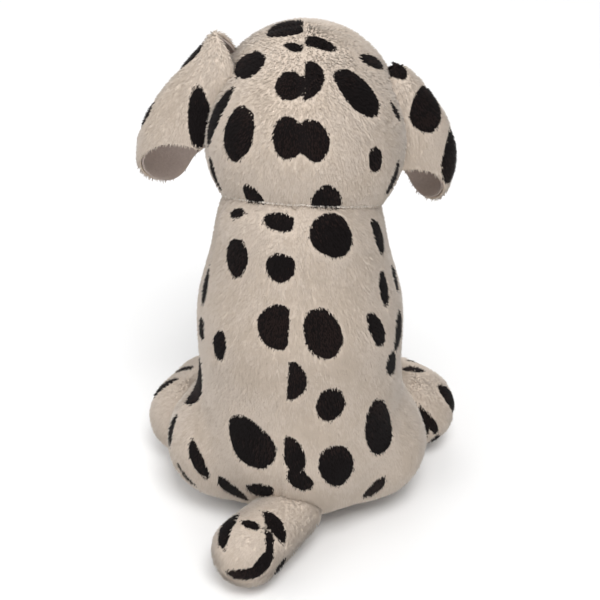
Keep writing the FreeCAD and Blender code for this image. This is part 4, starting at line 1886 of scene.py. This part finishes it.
TAIL_SPOTS = (
    Spot(-90, 84, Size.FLECK, 60),
    Spot(100, 52, Size.STREAK, 80),
    Spot(-98, 46, Size.NARROW, -10),
    Spot(-56, 39, Size.SLIVER, -32),
    Spot(-27, 14, Size.NARROW, -50),
    Spot(137, 5, Size.SMALL),
    Spot(3, 0, Size.NARROW, -82),
    Spot(-75, -23, Size.SMALL),
)


class Tail(SoftPart):
    """The tail, with a seam along each side."""

    def __init__(self) -> None:
        """Sets the tail's form, seams and spots."""
        super().__init__(
            name="tail",
            body="tail",
            form=TAIL_FORM,
            nap=tailward,
            seams=(Seam((0.0, 0.0, 14.0), (0.0, 0.0, 1.0)),),
            patterns=(Pattern(TAIL_FORM.lobes[0].end, TAIL_SPOTS),),
            hidden_in=(TORSO_FORM,),
        )

    def nodes(self) -> list[str]:
        """The tail's panels."""
        return ["tail_upper", "tail_lower"]


# Where the ears' pile begins and is full: above the layer's middle, and outside the head.
ON_TOP_OF_EAR = (-0.3, 0.4)
EAR_CLEAR_OF_HEAD = (-4.0, -2.5)


@dataclass
class Ear:
    """A floppy ear: a fold of spotted plush over a smooth lining, open towards the head.

    The ridge is the fold's outermost line from root to edge, as X outwards and Z. Reach is how far
    along it the edge is, at each edge angle round the fold. Depth and breadth are the fold's size
    towards the head and along the dog, at the root, half way and at the edge. Each layer has the
    heights of its two faces over the surface where the layers meet.
    """

    side: Side
    ridge: tuple[tuple[float, float], ...]
    reach: tuple[float, ...]
    pattern: Pattern
    bend_start: Triple
    bend_end: Triple
    ridge_y: float = -37.0
    rows: int = 30
    columns: int = 46
    edge_angles: tuple[float, ...] = (-95.0, -75.0, -50.0, -20.0, 0.0, 30.0, 60.0, 95.0)
    spread: float = 95.0
    smoothing: int = 9
    dome: float = 0.14
    depth: Triple = (15.0, 22.0, 30.0)
    breadth: Triple = (11.0, 14.5, 18.0)
    wave: float = 0.9
    root_turn: float = 12.0
    pile_depth: float = 3.0
    outer: tuple[float, float] = (1.5, 0.2)
    lining: tuple[float, float] = (0.0, -1.2)
    pile_length: float = 0.95

    def middle(self) -> tuple[np.ndarray, np.ndarray]:
        """The surface where the two layers meet.

        Returns:
            Points by row and column, from root to edge and from front to rear, and their
            outward normals.
        """
        knots = np.array(self.ridge)
        strides = np.linalg.norm(np.diff(knots, axis=0), axis=1)
        share = np.concatenate([[0.0], np.cumsum(strides)]) / strides.sum()
        fit_x, fit_z = (np.polyfit(share, knots[:, axis], 3) for axis in (0, 1))
        angles = np.linspace(-self.spread, self.spread, self.columns)
        reach = np.interp(angles, self.edge_angles, self.reach)
        longer = np.pad(reach, self.smoothing // 2, mode="edge")
        reach = np.convolve(longer, np.full(self.smoothing, 1.0 / self.smoothing), mode="valid")
        turn = np.radians(angles)[None, :]
        along = np.linspace(0.0, 1.0, self.rows)[:, None] ** 1.5 * reach[None, :]
        slope_x = np.polyval(np.polyder(fit_x), along)
        slope_z = np.polyval(np.polyder(fit_z), along)
        steep = np.hypot(slope_x, slope_z)
        out_x, out_z = -slope_z / steep, slope_x / steep
        rise = np.sqrt(np.clip(1.0 - (1.0 - along / self.dome) ** 2, 0.0, 1.0))
        rise = np.where(along < self.dome, rise, 1.0)
        inward = rise * np.interp(along, (0.0, 0.4, 1.0), self.depth)
        breadth = rise * np.interp(along, (0.0, 0.5, 1.0), self.breadth)
        ripple = self.wave * along * np.sin(3.0 * turn + 5.0 * along)
        sunk = inward * (np.cos(turn) - 1.0) + ripple - self.pile_depth
        x = np.polyval(fit_x, along) + out_x * sunk
        z = np.polyval(fit_z, along) + out_z * sunk
        y = self.ridge_y + breadth * np.sin(turn)
        sign = float(self.side.value)
        points = np.stack([x * sign, y, z], axis=2)
        flat = np.cos(turn) * breadth + 1e-3
        back = (1.0 - rise) / steep * self.root_turn
        normals = np.stack(
            [
                sign * (out_x * flat - back * slope_x),
                np.sin(turn) * inward,
                out_z * flat - back * slope_z,
            ],
            axis=2,
        )
        return points, unit(normals)

    def build(self) -> None:
        """Makes the two layers and the outer one's pile."""
        points, normals = self.middle()
        word = self.side.word
        layers = (("outer", self.outer, "cloth"), ("lining", self.lining, "lining"))
        for layer, (high, low), key in layers:
            name = f"ear_{word}_{layer}_skin"
            mesh = shell_mesh(name, points + normals * high, points + normals * low, False)
            mesh.materials.append(MATERIALS[key])
            skin = show(name, mesh)
            if layer == "outer":
                self.grow_pile(skin, points + normals * (high + low) / 2.0, normals)
            self.hinge(skin)
            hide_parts(f"ear_{word}_{layer}")

    def hinge(self, piece: bpy.types.Object) -> None:
        """Sews a piece's root to the head and lets the rest bend with the ear.

        Args:
            piece: a finished piece of the ear.
        """
        start, end = (tuple(Vector(place) * MM) for place in (self.bend_start, self.bend_end))
        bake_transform(piece, "head", f"ear_{self.side.word}", start=start, end=end)

    def grow_pile(self, skin: bpy.types.Object, middle: np.ndarray, outward: np.ndarray) -> None:
        """Marks the outer layer and grows its pile.

        Args:
            skin: the outer layer.
            middle: the layer's middle surface, by row and column.
            outward: its outward normals.
        """
        mesh = skin.data
        places = positions(mesh)
        surface = MeshSurface(mesh)
        tree = KDTree(middle.size // 3)
        for index, point in enumerate(middle.reshape(-1, 3)):
            tree.insert(point, index)
        tree.balance()
        nearest = np.array([tree.find(place)[1] for place in places])
        normals = outward.reshape(-1, 3)[nearest]
        height = np.sum((places - middle.reshape(-1, 3)[nearest]) * normals, axis=1)
        spot = self.pattern.distance(places, surface, None)
        store(mesh, "spot", spot)
        on_top = smooth_step(height, *ON_TOP_OF_EAR)
        store(mesh, "fur", on_top * smooth_step(HEAD_FORM.distance(places), *EAR_CLEAR_OF_HEAD))
        store(mesh, "nap", tangent_part(downward(places), normals))
        store(mesh, "pile_length", self.pile_length * trimmed(spot))
        for dark in (False, True):
            shade = "black" if dark else "pale"
            pile = PILE.grow(skin, f"ear_{self.side.word}_{shade}_pile", dark)
            if pile is not None:
                self.hinge(pile)


LEFT_EAR = Ear(
    Side.LEFT,
    ridge=((41.0, 240.0), (54.0, 224.0), (66.7, 206.0), (76.0, 190.0), (80.0, 178.0), (78.0, 167.0)),
    reach=(1.05, 1.16, 1.22, 1.12, 1.0, 0.78, 0.6, 0.54),
    pattern=Pattern(
        (40.0, -37.0, 150.0),
        (
            Spot(107, 226, Size.STREAK),
            Spot(137, 216, Size.SMALL),
            Spot(23, 204, Size.STRIPE),
            Spot(97, 197, Size.MEDIUM),
            Spot(123, 192, Size.OVAL, 15),
            Spot(80, 174, Size.DOT),
            Spot(118, 155, Size.MEDIUM, 90),
        ),
        (40.0, -37.0, 240.0),
    ),
    bend_start=(48.0, -37.0, 231.0),
    bend_end=(66.0, -37.0, 206.0),
)
RIGHT_EAR = Ear(
    Side.RIGHT,
    ridge=((45.0, 225.0), (51.0, 222.0), (64.0, 206.0), (72.0, 185.0), (76.0, 166.0), (66.0, 149.0)),
    reach=(0.95, 1.04, 1.08, 1.05, 1.0, 0.8, 0.62, 0.56),
    pattern=Pattern(
        (-40.0, -37.0, 150.0),
        (
            Spot(-76, 225, Size.SMALL, 40),
            Spot(-68, 205, Size.BROAD, -20),
            Spot(-124, 182, Size.OVAL, -10),
            Spot(-82, 178, Size.LARGE, -10),
            Spot(-106, 160, Size.SMALL),
        ),
        (-40.0, -37.0, 240.0),
    ),
    bend_start=(-50.0, -37.0, 222.0),
    bend_end=(-66.0, -37.0, 198.0),
)


NECK_CENTRE = np.array([-0.8, -14.4, 165.2])
NECK_AXIS = unit(np.array([-2.5, -19.0, 39.0]))
NECK_RADIUS = 37.8


def sew_neck(head: bpy.types.Object) -> None:
    """Sews the ring of stitches that closes the neck, deep in the crease.

    Args:
        head: the head's skin, which the stitches lie against.
    """
    across = unit(np.cross(NECK_AXIS, np.array([1.0, 0.0, 0.0])))
    angles = np.linspace(0.0, 2.0 * math.pi, 73)[:, None]
    round_it = np.cos(angles) * across + np.sin(angles) * np.cross(NECK_AXIS, across)
    STITCHER.sew(
        "neck_stitches",
        [NECK_CENTRE + NECK_RADIUS * round_it],
        MeshSurface(head.data),
        "pale_thread",
        "neck",
        ["neck_seam_thread"],
        lift=0.2,
    )


# Carried-over pieces -------------------------------------------------------------------

CAD_FINISHES = {
    "washer": "washer",
    "eye": "eye",
    "nose": "nose",
    "stuffing": "fibre",
    "pouch": "pouch",
    "pellets": "pellet",
    "thread": "pale_thread",
}


def dress_cad() -> None:
    """Gives each CAD piece its finish, whether it shows or stays inside."""
    for name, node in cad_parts.items():
        key = next((finish for word, finish in CAD_FINISHES.items() if word in name), "fibre")
        node.data.materials.clear()
        node.data.materials.append(MATERIALS[key])


# Studio --------------------------------------------------------------------------------


@dataclass
class Studio:
    """The camera, the lights and the floor."""

    target: Triple = (0.0, -15.0, 108.0)
    distance: float = 700.0
    elevation: float = 35.0
    lens: float = 85.74

    def build(self) -> None:
        """Makes the camera, the floor and the lights."""
        bpy.context.scene.view_settings.view_transform = "Standard"
        self.camera()
        self.floor()
        self.lights()

    def camera(self) -> None:
        """Sets the camera behind and above the dog."""
        lift = math.radians(self.elevation)
        back = Vector((0.0, math.cos(lift), math.sin(lift)))
        data = bpy.data.cameras.new("camera")
        data.sensor_width = 36.0
        data.lens = self.lens
        data.clip_start = 0.01
        data.clip_end = 50.0
        thing = bpy.data.objects.new("camera", data)
        thing.location = (Vector(self.target) + back * self.distance) * MM
        thing.rotation_euler = back.to_track_quat("Z", "Y").to_euler()
        bpy.context.scene.collection.objects.link(thing)
        bpy.context.scene.camera = thing

    def floor(self) -> None:
        """Lays a pale floor under the dog."""
        half = 3.0
        mesh = bpy.data.meshes.new("floor")
        corners = [(-half, -half, 0.0), (half, -half, 0.0), (half, half, 0.0), (-half, half, 0.0)]
        mesh.from_pydata(corners, [], [(0, 1, 2, 3)])
        material, shader = blank_material("pale_floor")
        shader.inputs["Base Color"].default_value = (0.9, 0.9, 0.9, 1.0)
        shader.inputs["Roughness"].default_value = 0.9
        mesh.materials.append(material)
        show("floor", mesh)

    def lights(self) -> None:
        """Hangs three soft lights and an even pale surround."""
        world = bpy.data.worlds.new("surround")
        world.use_nodes = True
        world.node_tree.nodes["Background"].inputs["Color"].default_value = (1.0, 1.0, 1.0, 1.0)
        world.node_tree.nodes["Background"].inputs["Strength"].default_value = 0.6
        bpy.context.scene.world = world
        for name, place, size, power in (
            ("key_light", (-0.2, 0.7, 1.6), 0.7, 17.0),
            ("fill_light", (0.9, 0.6, 0.9), 0.9, 4.0),
            ("front_light", (0.2, -1.2, 1.0), 1.2, 5.0),
        ):
            data = bpy.data.lights.new(name, "AREA")
            data.size = size
            data.energy = power
            thing = bpy.data.objects.new(name, data)
            thing.location = place
            aim = Vector(place) - Vector(self.target) * MM
            thing.rotation_euler = aim.to_track_quat("Z", "Y").to_euler()
            bpy.context.scene.collection.objects.link(thing)


def write_sizes() -> None:
    """Updates the view layer."""
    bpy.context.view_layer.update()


def main() -> None:
    """Builds the dog piece by piece and reports each."""
    logging.basicConfig(level=logging.INFO, format="%(name)s: %(message)s")
    Studio().build()
    parts: list[SoftPart] = [Torso(), Head(), Tail()]
    for side in Side:
        parts += [FrontLeg(side), HindLeg(side)]
    skins = {part.name: part.build() for part in parts}
    sew_neck(skins["head"])
    for ear in (LEFT_EAR, RIGHT_EAR):
        ear.build()
    dress_cad()
    write_sizes()


if __name__ == "__main__":
    main()
